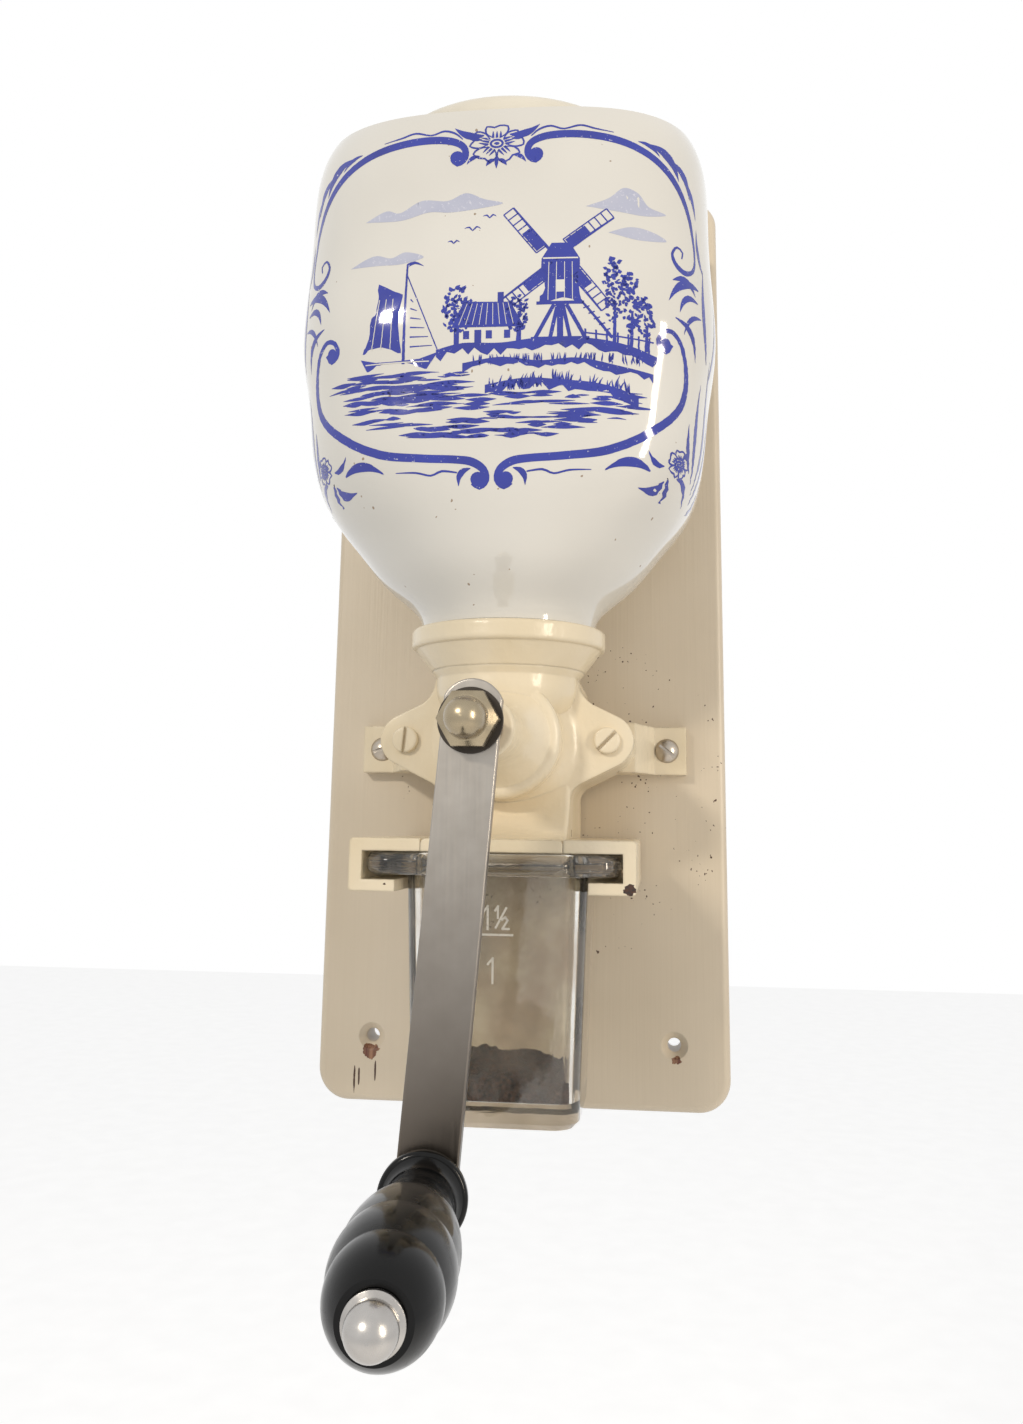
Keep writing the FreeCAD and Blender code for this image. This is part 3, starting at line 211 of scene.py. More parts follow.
def board_enamel():
    """Cream enamel brushed on softwood, with chips at the lower screw holes and specks near the mill."""
    material = start("cream_enamel_brushed_on_softwood")
    point = place_in_mm(material)
    strokes = speckle(material, place_in_mm(material, (0.8, 1.0, 40.0)), 1.0, 3.0)
    clouds = speckle(material, point, 60.0, 2.0)
    paint = ramp(material, clouds, [(0.3, linear("#CDC0AB")), (0.7, linear("#DACEBB"))])
    paint = mix(material, maths(material, "MULTIPLY", strokes, 0.18), paint, linear("#BFB299"))
    specks = speckle(material, point, 1.1, 1.0)
    patches = speckle(material, point, 14.0, 1.0)
    dots = maths(material, "GREATER_THAN", maths(material, "ADD", specks, maths(material, "MULTIPLY", patches, 0.30)),
                 0.905)
    around_mill = add(material, "VectorMath", {0: point}, operation="DISTANCE")
    around_mill.inputs[1].default_value = (12.0, -12.5, -52.0)
    close = maths(material, "LESS_THAN", around_mill.outputs["Value"], 52.0)
    dirt = maths(material, "MULTIPLY", dots, close)
    chips = any_of(material, near(material, (-46.2, -12.5, -131.2), 2.8, 1.4, point),
                   near(material, (46.6, -12.5, -131.0), 1.7, 1.2, point))
    cracks = any_of(material, crack(material, point, (-51.0, -12.5, -139.5), 4.0),
                    crack(material, point, (-49.6, -12.5, -138.8), 2.6),
                    crack(material, point, (-44.6, -12.5, -137.0), 3.0))
    wood = ramp(material, speckle(material, place_in_mm(material, (1.0, 1.0, 18.0)), 0.8, 2.0),
                [(0.35, linear("#5E3426")), (0.65, linear("#9A7358"))])
    colour = mix(material, maths(material, "MAXIMUM", dirt, cracks), paint, linear("#4A3226"))
    colour = mix(material, chips, colour, wood)
    worn = maths(material, "MAXIMUM", chips, cracks)
    relief = maths(material, "SUBTRACT", maths(material, "MULTIPLY", strokes, 0.5), worn)
    shader = add(material, "BsdfPrincipled", {"Base Color": colour,
                                              "Normal": bump(material, relief, 0.10, soft_edge(material, 0.5))},
                 Roughness=0.36, IOR=1.5)
    return finish_with(material, shader)


def casting_enamel():
    """The same enamel on rough cast iron: lumpy, glossier, chipped to dark iron at the slot's edges."""
    material = start("cream_enamel_brushed_on_cast_iron")
    point = place_in_mm(material)
    lumps = speckle(material, point, 3.2, 3.0)
    runs = speckle(material, place_in_mm(material, (1.0, 1.0, 3.0)), 7.0, 2.0)
    clouds = speckle(material, point, 30.0, 2.0)
    paint = ramp(material, clouds, [(0.3, linear("#DDCFB2")), (0.7, linear("#EADEC6"))])
    rust = any_of(material, near(material, (18.0, -56.0, -65.0), 1.5, 1.2, point),
                  near(material, (34.7, -86.5, -78.3), 1.9, 1.2, point),
                  near(material, (31.5, -86.5, -72.2), 1.2, 1.6, point),
                  near(material, (-31.5, -84.0, -76.8), 1.1, 1.4, point),
                  near(material, (-27.0, -86.5, -77.9), 0.8, 1.2, point),
                  near(material, (22.0, -86.5, -70.6), 0.7, 1.6, point),
                  near(material, (-12.0, -86.5, -70.4), 0.8, 1.6, point),
                  near(material, (26.5, -18.0, -47.0), 1.2, 1.2, point))
    iron = ramp(material, speckle(material, point, 0.8, 2.0), [(0.4, linear("#4A2C1C")), (0.65, linear("#2B2420"))])
    colour = mix(material, rust, paint, iron)
    relief = maths(material, "ADD", maths(material, "MULTIPLY", lumps, 0.5), runs)
    shader = add(material, "BsdfPrincipled", {"Base Color": colour,
                                              "Normal": bump(material, relief, 0.35, soft_edge(material, 0.8))},
                 Roughness=0.24, IOR=1.5)
    return finish_with(material, shader)


# %% [markdown]
# ## China
# Glazed china is a white body under a hard, clear, very smooth glaze. A cobalt print lies under the
# glaze, so print and white share one gloss. The print's ink took unevenly, which shows as small pale
# specks.

# %% Glazed china and its inks


def glaze(name, colour_of):
    """A glazed surface with the colour that colour_of draws."""
    material = start(name)
    point = place_in_mm(material)
    ripple = speckle(material, point, 22.0, 1.0)
    shader = add(material, "BsdfPrincipled", {"Base Color": colour_of(material, point),
                                              "Normal": bump(material, ripple, 0.25)},
                 Roughness=0.09, IOR=1.5, Coat_Weight=0.5, Coat_Roughness=0.04)
    return finish_with(material, shader)


def china_white(material, point):
    clouds = speckle(material, point, 50.0, 2.0)
    white = ramp(material, clouds, [(0.3, linear("#D5D3CD")), (0.7, linear("#DEDCD6"))])
    pits = speckle(material, point, 1.6, 0.0)
    return mix(material, maths(material, "GREATER_THAN", pits, 0.865), white, linear("#9C8A76"))


def printed(dark, light, cover):
    """Ink that took unevenly: dark and light grains, with pale specks where none took."""

    def colour(material, point):
        grains = speckle(material, point, 0.9, 3.0, 0.7)
        tone = speckle(material, point, 9.0, 1.0)
        ink = mix(material, tone, linear(dark), linear(light))
        return mix(material, maths(material, "GREATER_THAN", grains, cover), ink, linear("#C9CBDA"))

    return colour


# %% [markdown]
# ## Metals, glass and lacquer
# Each starts from typical values: bare metals are fully metallic and differ in colour and roughness,
# glass is clear with an index of 1.5, and black lacquer is nearly black with a hard gloss.

# %% Metals


def worn_metal(name, clean, dull, grain_mm, roughness, stretch=(1.0, 1.0, 1.0), painted_dark_reflection=None):
    """A bare metal that varies between clean and dull patches. The optional darkening is a height where the metal is
    fully bright, a lower height in mm where it is darkest, and the colour there: a painted reflection of a dark room
    below, darker towards the bottom."""
    material = start(name)
    fine = speckle(material, place_in_mm(material, stretch), grain_mm, 3.0)
    patches = speckle(material, place_in_mm(material), 5.0, 3.0)
    colour = mix(material, maths(material, "MULTIPLY", patches, 0.6), linear(clean), linear(dull))
    # Painted reflection: the colour darkens from one height down to another and stands in for a dark room reflected in
    # the metal.
    if painted_dark_reflection:
        bright_height, darkest_height, dark_reflection_colour = painted_dark_reflection
        height = add(material, "SeparateXYZ", {0: place_in_mm(material)}).outputs["Z"]
        share = add(material, "MapRange", {0: height})
        share.inputs["From Min"].default_value = bright_height
        share.inputs["From Max"].default_value = darkest_height
        colour = mix(material, share.outputs[0], colour, linear(dark_reflection_colour))
    rough = maths(material, "ADD", maths(material, "MULTIPLY", fine, 0.22), roughness - 0.1)
    shader = add(material, "BsdfPrincipled", {"Base Color": colour, "Roughness": rough,
                                              "Normal": bump(material, fine, 0.01, soft_edge(material, 0.25))},
                 Metallic=1.0)
    return finish_with(material, shader)


# %% Glass, lacquer and lid


def pressed_glass():
    """Clear pressed glass with the waviness of the mould, dulled in clouds by dry coffee dust."""
    material = start("clear_pressed_glass_with_coffee_dust")
    point = place_in_mm(material)
    wave = speckle(material, point, 9.0, 2.0)
    clouds = speckle(material, point, 16.0, 4.0, 0.6)
    clear = ramp(material, clouds, [(0.35, grey(1.0)), (0.65, grey(0.90))])
    tint = ramp(material, clouds, [(0.35, linear("#FAFAF5")), (0.65, linear("#DCD2C6"))])
    shader = add(material, "BsdfPrincipled", {"Base Color": tint, "Transmission Weight": clear,
                                              "Normal": bump(material, wave, 0.12)},
                 Roughness=0.04, IOR=1.5)
    return finish_with(material, shader)


def frosted_glass():
    """The raised marks on the cup catch the light, so they look frosted."""
    material = start("raised_pressed_glass")
    grit = speckle(material, place_in_mm(material), 0.5, 2.0)
    rough = ramp(material, grit, [(0.3, grey(0.25)), (0.7, grey(0.45))])
    shader = add(material, "BsdfPrincipled", {"Roughness": rough}, Base_Color=linear("#D9D6CE"), IOR=1.5,
                 Transmission_Weight=0.35)
    return finish_with(material, shader)


def black_lacquer():
    """Black gloss lacquer on a turned beech grip, with fine rubbed scratches."""
    material = start("black_lacquer_on_turned_beech")
    point = place_in_mm(material)
    rubbed = speckle(material, point, 6.0, 4.0, 0.65)
    rough = ramp(material, rubbed, [(0.35, grey(0.10)), (0.7, grey(0.30))])
    shader = add(material, "BsdfPrincipled", {"Roughness": rough,
                                              "Normal": bump(material, speckle(material, point, 2.5, 2.0), 0.02)},
                 Base_Color=linear("#060606"), IOR=1.33)
    return finish_with(material, shader)


def ivory_plastic():
    material = start("ivory_urea_moulded")
    point = place_in_mm(material)
    colour = ramp(material, speckle(material, point, 25.0), [(0.3, linear("#D6D0C2")), (0.7, linear("#E2DDD0"))])
    shader = add(material, "BsdfPrincipled", {"Base Color": colour}, Roughness=0.22, IOR=1.5)
    return finish_with(material, shader)


def ground_coffee():
    """Dark roasted coffee, ground to about half a millimetre."""
    material = start("ground_roasted_coffee")
    point = place_in_mm(material)
    grains = add(material, "TexVoronoi", {"Vector": point}, Scale=1 / 0.9)
    colour = ramp(material, grains.outputs["Color"], [(0.2, linear("#1E120B")), (0.8, linear("#4A2E1E"))])
    shader = add(material, "BsdfPrincipled", {"Base Color": colour,
                                              "Normal": bump(material, grains.outputs["Distance"], 0.5)},
                 Roughness=0.85)
    return finish_with(material, shader)


# %% Dress the solids
FINISHES = {
    "back_board": board_enamel(),
    "rear_casting": casting_enamel(),
    "hopper": glaze("glazed_china", china_white),
    "hopper_lid": ivory_plastic(),
    "glass_cup": pressed_glass(),
    "grip": black_lacquer(),
    # The crank arm darkens towards its lower end. This is a painted reflection of a dark room below.
    "crank_arm": worn_metal("steel_strip_brushed", "#B2ACA4", "#8A837A", 0.35, 0.34, (1.0, 1.0, 60.0),
                            painted_dark_reflection=(-55.0, -135.0, "#5E564E")),
    "acorn_nut": worn_metal("nickel_plate_worn", "#B5A88F", "#6A583E", 0.8, 0.26),
    "grip_cap": worn_metal("steel_turned_and_polished", "#C4C1BD", "#77706A", 0.9, 0.24),
    "adjusting_sleeve": worn_metal("steel_browned_with_oil", "#6B4A33", "#3A2417", 1.2, 0.45),
    # The nut washer's dark blackened steel is partly real and partly painted shade: it fills the nut's shadow on the
    # crank arm. The spindle, pins, screws, grip washer and spring share this finish.
    "nut_washer": worn_metal("steel_blackened_and_painted_nut_shadow", "#4A4540", "#2A2622", 0.8, 0.45),
    "ear_screws": worn_metal("steel_screw_bare", "#BEB6AA", "#7A6754", 0.7, 0.30),
    "front_bush": worn_metal("bearing_brass", "#B79357", "#7A5C30", 0.8, 0.35),
    "burr_ring": worn_metal("cast_iron_bare", "#4B4744", "#2F2B29", 0.8, 0.5),
    "hopper_bedding": ivory_plastic(),
}
for painted in ("front_casting", "hopper_collar", "cover_screws"):
    FINISHES[painted] = FINISHES["rear_casting"]
FINISHES["grip_rod"] = FINISHES["grip_cap"]
FINISHES["rear_bush"] = FINISHES["front_bush"]
for inner in ("burr_cone", "feed_screw"):
    FINISHES[inner] = FINISHES["burr_ring"]
for inner in ("spindle", "burr_pin", "burr_lock_screw", "grip_washer", "pressure_spring"):
    FINISHES[inner] = FINISHES["nut_washer"]
for name, solid in nodes.items():
    solid.data.materials.clear()
    solid.data.materials.append(FINISHES[name])
print("finishes:", sorted({finish.name for finish in FINISHES.values()}))

# %% [markdown]
# ## The blue print
# A print on china is flat colour on a curved jar. It could be an image, but cut shapes keep crisp
# edges at any size. So each stroke and each leaf is a thin mesh, drawn in millimetres on a plane and then
# laid on the jar: u is the way round the jar from the middle of its front, z is the height.

# %% Lay flat drawings on the jar
hopper = nodes["hopper"]
hopper_low, hopper_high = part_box("hopper")
JAR_MIDDLE = (hopper_low.y + hopper_high.y) / 2
JAR_TREE = BVHTree.FromPolygons([v.co for v in hopper.data.vertices], [p.vertices for p in hopper.data.polygons])
ANGLE_STEP = math.radians(3)
girths = {}


def jar_hit(angle, z):
    """Where a line from far out towards the jar's middle meets its outside."""
    away = Vector((math.sin(angle), -math.cos(angle), 0))
    point, normal, _, _ = JAR_TREE.ray_cast(Vector((0, JAR_MIDDLE, z)) + away * 0.2, -away)
    return point, normal


def angle_at(u, z):
    """Direction in which the way round the jar at height z has length u."""
    level = round(z / (2 * MM))
    if level not in girths:
        way, last = [0.0], jar_hit(0, level * 2 * MM)[0]
        for step in range(1, 50):
            here = jar_hit(step * ANGLE_STEP, level * 2 * MM)[0]
            way.append(way[-1] + (here - last).length)
            last = here
        girths[level] = way
    way, reach = girths[level], abs(u)
    step = next((n for n in range(len(way) - 1) if way[n + 1] >= reach), len(way) - 2)
    share = (reach - way[step]) / (way[step + 1] - way[step])
    return math.copysign((step + share) * ANGLE_STEP, u)


def on_jar(u_mm, z_mm, lift_mm):
    point, normal = jar_hit(angle_at(u_mm * MM, z_mm * MM), z_mm * MM)
    return point + normal * lift_mm * MM


# %% Draw strokes and patches in the plane


def curve_through(points, step=0.8):
    """A smooth line of values through a few given points, with a value about every step mm."""
    ends = [points[0], *points, points[-1]]
    line = []
    for before, a, b, after in zip(ends, ends[1:], ends[2:], ends[3:]):
        count = max(2, int(math.dist(a[:2], b[:2]) / step))
        for n in range(count):
            t = n / count
            line.append(tuple(0.5 * (2 * q + (r - p) * t + (2 * p - 5 * q + 4 * r - s) * t ** 2
                                     + (3 * q - p - 3 * r + s) * t ** 3)
                              for p, q, r, s in zip(before, a, b, after)))
    return line + [tuple(points[-1])]


class Print:
    """Flat shapes of one ink, collected and then laid on the jar as one mesh."""

    def __init__(self):
        self.points, self.faces = [], []

    def keep(self, points, faces):
        first = len(self.points)
        self.points += points
        self.faces += [[first + n for n in face] for face in faces]

    def stroke(self, points):
        """A line through (u, z, width) points."""
        line = curve_through(points)
        edges = []
        for n, (u, z, width) in enumerate(line):
            before, after = line[max(n - 1, 0)], line[min(n + 1, len(line) - 1)]
            run = Vector((after[0] - before[0], after[1] - before[1])).normalized()
            half = max(width, 0.05) / 2
            edges += [(u - run.y * half, z + run.x * half), (u + run.y * half, z - run.x * half)]
        self.keep(edges, [(2 * n, 2 * n + 1, 2 * n + 3, 2 * n + 2) for n in range(len(line) - 1)])

    def leaf(self, base, tip, width, bend=0.0):
        """A pointed leaf that is bent to its left by a share of its length."""
        run = Vector(tip) - Vector(base)
        side = Vector((-run.y, run.x)) * bend
        middle = (Vector(base) + Vector(tip)) / 2 + side
        quarter = (Vector(base) * 3 + Vector(tip)) / 4 + side * 0.8
        self.stroke([(*base, width * 0.15), (*quarter, width * 0.85), (*middle, width),
                     (*((middle + Vector(tip)) / 2 + side * 0.2), width * 0.6), (*tip, 0.05)])

    def patch(self, outline, smooth=False):
        """A filled shape inside an outline."""
        border = curve_through([*outline, outline[0]])[:-1] if smooth else list(outline)
        us, zs = [p[0] for p in border], [p[1] for p in border]
        cell = 2.5
        grid = [Vector((min(us) + cell * i, min(zs) + cell * j))
                for i in range(1, int((max(us) - min(us)) / cell) + 1)
                for j in range(1, int((max(zs) - min(zs)) / cell) + 1)]
        result = delaunay_2d_cdt([Vector(p[:2]) for p in border] + grid, [], [list(range(len(border)))], 1, 1e-4)
        self.keep([tuple(p) for p in result[0]], result[2])

    def dot(self, u, z, radius, squash=1.0):
        self.patch([(u + radius * math.cos(a), z + radius * squash * math.sin(a))
                    for a in [math.pi * n / 8 for n in range(16)]])

    def lay(self, name, material, lift_mm, slot="glazed_china"):
        """Lays everything on the jar as one mesh."""
        mesh = bpy.data.meshes.new(name)
        mesh.from_pydata([on_jar(u, z, lift_mm) for u, z in self.points], [], self.faces)
        mesh.polygons.foreach_set("use_smooth", [True] * len(mesh.polygons))
        mesh.materials.append(material)
        piece = bpy.data.objects.new(name, mesh)
        bpy.context.scene.collection.objects.link(piece)
        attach(piece, "base")
        print(name, len(mesh.polygons), "faces")
        return piece


# %% The frame of scrolls, flowers and leaves
border = Print()
TOP_SCROLL = [(12.4, 112.9, 0.4), (10.6, 111.7, 1.6), (8.5, 113.4, 1.7), (9.0, 116.6, 1.9), (12.5, 118.6, 2.2),
              (18.5, 119.3, 2.3), (26.0, 118.9, 2.3), (34.0, 117.3, 2.2), (41.0, 114.4, 2.1), (46.5, 110.5, 2.0),
              (51.0, 105.3, 1.8), (54.2, 99.0, 1.4), (55.8, 92.5, 1.0), (56.2, 87.0, 0.8), (55.0, 83.4, 1.1),
              (52.0, 82.0, 1.6), (49.0, 83.6, 1.3), (47.8, 86.6, 0.8), (49.4, 88.9, 0.7), (51.3, 87.8, 0.6),
              (50.9, 85.9, 0.4)]
LOW_SCROLL = [(47.6, 60.9, 0.6), (45.6, 58.9, 1.4), (43.4, 60.7, 1.4), (44.4, 63.5, 1.3), (47.2, 64.4, 1.2),
              (50.2, 62.0, 1.3), (52.3, 57.0, 1.5), (52.8, 51.5, 1.8), (51.3, 46.2, 2.0), (47.8, 41.9, 2.1),
              (42.5, 37.9, 2.2), (36.0, 34.1, 2.2), (28.0, 31.2, 2.2), (18.0, 29.9, 2.1), (9.5, 29.3, 2.1),
              (5.2, 28.6, 2.2), (2.2, 26.6, 2.0), (1.5, 23.9, 1.8), (3.2, 22.2, 1.6), (5.2, 23.0, 0.6)]
TOP_RIPPLE = [(9.3, 119.0, 0.3), (11.5, 121.0, 0.6), (14.5, 121.9, 0.6), (18.0, 120.9, 0.5), (22.5, 122.0, 0.6),
              (26.5, 121.0, 0.5), (31.5, 120.1, 0.2)]
LOW_RIPPLE = [(9.0, 25.9, 0.4), (13.0, 26.4, 0.6), (16.0, 25.4, 0.5), (20.0, 26.3, 0.5), (25.5, 26.6, 0.2)]
LEAVES = [((38.2, 118.0), (44.5, 114.4), 1.2, 0.12), ((41.5, 117.6), (50.5, 108.6), 2.6, 0.16),
          ((47.5, 114.2), (54.6, 104.5), 2.0, 0.16), ((51.5, 110.5), (57.3, 99.5), 1.5, 0.10),
          ((57.5, 78.5), (46.5, 72.8), 2.4, -0.22), ((57.0, 74.5), (50.0, 70.2), 1.8, -0.30),
          ((47.8, 79.0), (56.0, 76.2), 1.9, 0.25), ((48.5, 68.5), (56.5, 58.5), 1.6, 0.18),
          ((58.5, 70.5), (51.5, 64.5), 1.4, -0.2),
          ((42.0, 27.6), (29.0, 26.6), 2.4, -0.16), ((47.0, 26.0), (38.8, 23.4), 2.2, 0.18),
          ((46.5, 29.5), (41.0, 32.6), 1.5, 0.20), ((48.0, 27.0), (46.8, 21.0), 1.6, 0.12),
          ((52.0, 27.5), (58.5, 22.0), 1.8, 0.20), ((57.5, 30.0), (55.0, 42.0), 1.6, 0.10),
          ((60.0, 28.0), (60.5, 54.0), 1.8, 0.06), ((62.5, 26.0), (66.0, 62.0), 1.9, -0.05),
          ((64.0, 24.0), (72.5, 52.0), 2.0, -0.08), ((63.0, 60.0), (60.5, 86.0), 1.7, 0.07),
          ((66.5, 56.0), (69.5, 80.0), 1.6, -0.07), ((60.5, 84.0), (57.5, 97.0), 1.3, 0.08),
          ((66.0, 22.0), (75.0, 33.0), 1.7, -0.14)]


def blossom(ink, u, z, size):
    """Five notched petals round an eye."""
    for petal in range(5):
        turn = math.radians(90 + 72 * petal)
        out, across = Vector((math.cos(turn), math.sin(turn) * 0.78)), Vector((-math.sin(turn), math.cos(turn) * 0.78))
        rim = [(0.28, 0.10), (0.55, 0.40), (0.92, 0.38), (0.86, 0.10), (0.96, -0.10), (0.90, -0.40), (0.55, -0.38),
               (0.28, -0.10)]
        ink.stroke([(u + size * (out.x * far + across.x * wide), z + size * (out.y * far + across.y * wide),
                     0.5 if n % 7 else 0.2) for n, (far, wide) in enumerate(rim)])
        for wide in (-0.14, 0.0, 0.14):
            ink.stroke([(u + size * (out.x * far + across.x * wide), z + size * (out.y * far + across.y * wide), width)
                        for far, width in ((0.30, 0.7), (0.50, 0.5), (0.66, 0.1))])
    ring = [(u + size * 0.22 * math.cos(a), z + size * 0.15 * math.sin(a), 0.6)
            for a in [math.pi * n / 6 for n in range(13)]]
    ink.stroke(ring)
    ink.dot(u, z, size * 0.10, 0.6)


for side in (-1, 1):
    for line in (TOP_SCROLL, LOW_SCROLL, TOP_RIPPLE, LOW_RIPPLE):
        border.stroke([(side * u, z, width) for u, z, width in line])
    border.dot(side * 10.7, 113.6, 1.9)
    border.dot(side * 45.6, 60.8, 1.6)
    border.dot(side * 3.6, 24.1, 1.9)
    for base, tip, width, bend in LEAVES:
        border.leaf((side * base[0], base[1]), (side * tip[0], tip[1]), width, side * bend)
    border.leaf((side * 5.5, 26.9), (side * 8.6, 22.4), 1.6, side * 0.25)
    border.leaf((side * 3.5, 119.8), (side * 11.6, 122.6), 2.2, side * -0.14)
    border.leaf((side * 4.0, 118.6), (side * 8.6, 120.0), 1.0, side * -0.10)
    border.leaf((side * 4.5, 113.6), (side * 8.0, 111.4), 1.2, side * 0.16)
    border.leaf((side * 0.6, 112.6), (side * 2.8, 110.6), 1.2, side * 0.1)
    border.dot(side * 55.0, 33.5, 1.0)
    blossom(border, side * 52.0, 31.0, 4.4)
blossom(border, 0.0, 117.2, 7.4)
border.leaf((0.0, 113.2), (0.0, 109.8), 1.0)

# %% [markdown]
# The picture in the middle is a landscape of its own: a barge under sail, a farm behind trees and a post
# mill on its trestle, with water in front. Ripples, reeds and leaves are scattered by a random
# generator with a fixed seed, so that the picture is the same on every run.

# %% The landscape
random.seed(11)
scenery, reserve, clouds = Print(), Print(), Print()


def sails(ink, u, z, length, turned):
    """Four lattice sails on crossed poles."""
    for quarter in range(4):
        angle = math.radians(turned + 90 * quarter)
        out, across = Vector((math.cos(angle), math.sin(angle))), Vector((-math.sin(angle), math.cos(angle)))

        def at(far, wide):
            return (u + length * (out.x * far + across.x * wide), z + length * (out.y * far + across.y * wide))

        ink.stroke([(*at(0, 0), 0.9), (*at(1, 0), 0.5)])
        ink.stroke([(*at(0.24, 0.17), 0.35), (*at(1, 0.17), 0.35)])
        for bar in range(8):
            far = 0.24 + 0.76 * bar / 7
            ink.stroke([(*at(far, 0), 0.35), (*at(far, 0.17), 0.35)])
        ink.patch([at(0.26, 0.02), at(0.60, 0.02), at(0.60, 0.15), at(0.26, 0.15)])


def post_mill(u, z):
    """Wooden mill house on a post with its trestle, ladder and tail pole."""
    scenery.patch([(u - 5.4, z), (u + 5.4, z), (u + 5.0, z + 12.5), (u + 2.4, z + 17.0), (u - 2.4, z + 17.0),
                   (u - 5.0, z + 12.5)])
    scenery.stroke([(u - 6.2, z, 0.9), (u + 6.2, z, 0.9)])
    for foot in (-6.5, -2.6, 2.6, 6.5):
        scenery.stroke([(u + foot, z - 9.5, 1.0), (u + foot * 0.25, z - 0.5, 1.0)])
    scenery.stroke([(u, z - 9.5, 1.6), (u, z, 1.6)])
    scenery.stroke([(u - 7.6, z - 9.6, 1.0), (u + 7.6, z - 9.6, 1.0)])
    scenery.stroke([(u + 5.0, z + 1.0, 0.6), (u + 13.5, z - 9.4, 0.8)])
    for rung in range(6):
        scenery.stroke([(u + 6.0 + rung * 1.35, z - 1.6 - rung * 1.5, 0.35), (u + 7.6 + rung * 1.35, z - 1.0 - rung * 1.5, 0.35)])
    for plank in (-3.2, -1.1, 1.1, 3.2):
        reserve.stroke([(u + plank, z + 0.8, 0.18), (u + plank * 0.95, z + 11.5, 0.18)])
    reserve.patch([(u - 1.2, z + 3.0), (u + 1.0, z + 3.0), (u + 1.0, z + 6.4), (u - 1.2, z + 6.4)])
    reserve.stroke([(u - 4.6, z + 12.6, 0.4), (u + 4.6, z + 12.6, 0.4)])
    sails(scenery, u - 1.0, z + 12.6, 19.0, 38.0)


def barge(u, z):
    """A flat barge with one gaff sail, a jib and its reflection."""
    scenery.patch([(u - 10.5, z + 2.2), (u - 8.6, z - 1.2), (u + 8.0, z - 1.6), (u + 11.0, z + 2.8), (u + 6.0, z + 1.2),
                   (u - 6.0, z + 1.0)])
    reserve.stroke([(u - 9.0, z + 0.6, 0.3), (u + 8.6, z + 0.4, 0.3)])
    scenery.stroke([(u + 1.6, z, 0.8), (u + 2.2, z + 27.5, 0.5)])
    scenery.patch([(u + 1.0, z + 3.0), (u - 10.0, z + 3.6), (u - 7.6, z + 12.0), (u - 5.6, z + 22.6), (u + 1.2, z + 19.0)])
    for seam in (-7.2, -4.6, -2.0):
        reserve.stroke([(u + seam, z + 4.4, 0.22), (u + seam * 0.72, z + 18.0, 0.22)])
    scenery.stroke([(u + 2.2, z + 24.6, 0.3), (u + 10.8, z + 3.4, 0.3)])
    for line in range(6):
        scenery.stroke([(u + 3.4, z + 4.5 + line * 2.6, 0.4), (u + 9.4 - line * 1.05, z + 4.6 + line * 2.4, 0.2)])
    scenery.stroke([(u + 2.2, z + 27.3, 1.0), (u + 4.2, z + 28.0, 0.8), (u + 6.6, z + 26.9, 0.1)])
    for line in range(6):
        reach = 9.0 - line
        scenery.stroke([(u - reach, z - 2.8 - line * 1.5, 0.2), (u - 1.0, z - 3.1 - line * 1.5, 0.9),
                        (u + reach, z - 2.7 - line * 1.5, 0.2)])


def farm(u, z):
    """A long low house with a steep roof."""
    scenery.patch([(u - 9.5, z + 4.6), (u - 6.4, z + 11.6), (u + 6.0, z + 11.2), (u + 9.6, z + 4.4)])
    scenery.stroke([(u - 8.6, z, 0.5), (u - 8.6, z + 4.8, 0.5)])
    scenery.stroke([(u + 8.6, z, 0.5), (u + 8.6, z + 4.6, 0.5)])
    for window in (-5.6, 0.4, 5.2):
        scenery.patch([(u + window - 0.8, z + 1.4), (u + window + 0.8, z + 1.4), (u + window + 0.8, z + 3.6),
                       (u + window - 0.8, z + 3.6)])
    scenery.patch([(u - 3.4, z), (u - 1.6, z), (u - 1.6, z + 3.8), (u - 3.4, z + 3.8)])
    for line in range(9):
        reserve.stroke([(u - 7.6 + line * 1.8, z + 5.2, 0.16), (u - 5.4 + line * 1.35, z + 11.0, 0.16)])
    scenery.patch([(u + 2.6, z + 11.0), (u + 4.2, z + 11.0), (u + 4.2, z + 14.0), (u + 2.6, z + 14.0)])


def tree(u, z, height, width):
    """A crown of scattered leaf dabs round a stem."""
    scenery.stroke([(u, z, 1.0), (u + 0.3, z + height * 0.5, 0.6)])
    for _ in range(int(height * width * 0.9)):
        angle, far = random.uniform(0, 2 * math.pi), math.sqrt(random.random())
        cu = u + far * width / 2 * math.cos(angle)
        cz = z + height * 0.6 + far * height * 0.42 * math.sin(angle)
        scenery.leaf((cu, cz), (cu + random.uniform(-1.3, 1.3), cz + random.uniform(0.3, 1.4)), random.uniform(0.6, 1.2))


def bank(points, depth):
    """A strip of ground with a ragged lower edge."""
    lower = [(u, z - depth * random.uniform(0.35, 1.0)) for u, z in reversed(curve_through(points, 1.6))]
    scenery.patch([*curve_through(points, 1.6), *lower])


def ripples(left, right, low, high, count):
    """Short lens-shaped waves, longer and darker towards the front."""
    for _ in range(count):
        z = random.uniform(low, high)
        share = (z - low) / (high - low)
        middle, half = (left + right) / 2, (right - left) / 2 * math.sqrt(max(0.05, 1 - (1 - share) ** 2 * 0.92))
        u = random.uniform(middle - half, middle + half)
        long = random.uniform(1.5, 6.5)
        scenery.stroke([(u - long, z, 0.1), (u, z + random.uniform(-0.3, 0.3), random.uniform(0.4, 1.4)), (u + long, z, 0.1)])


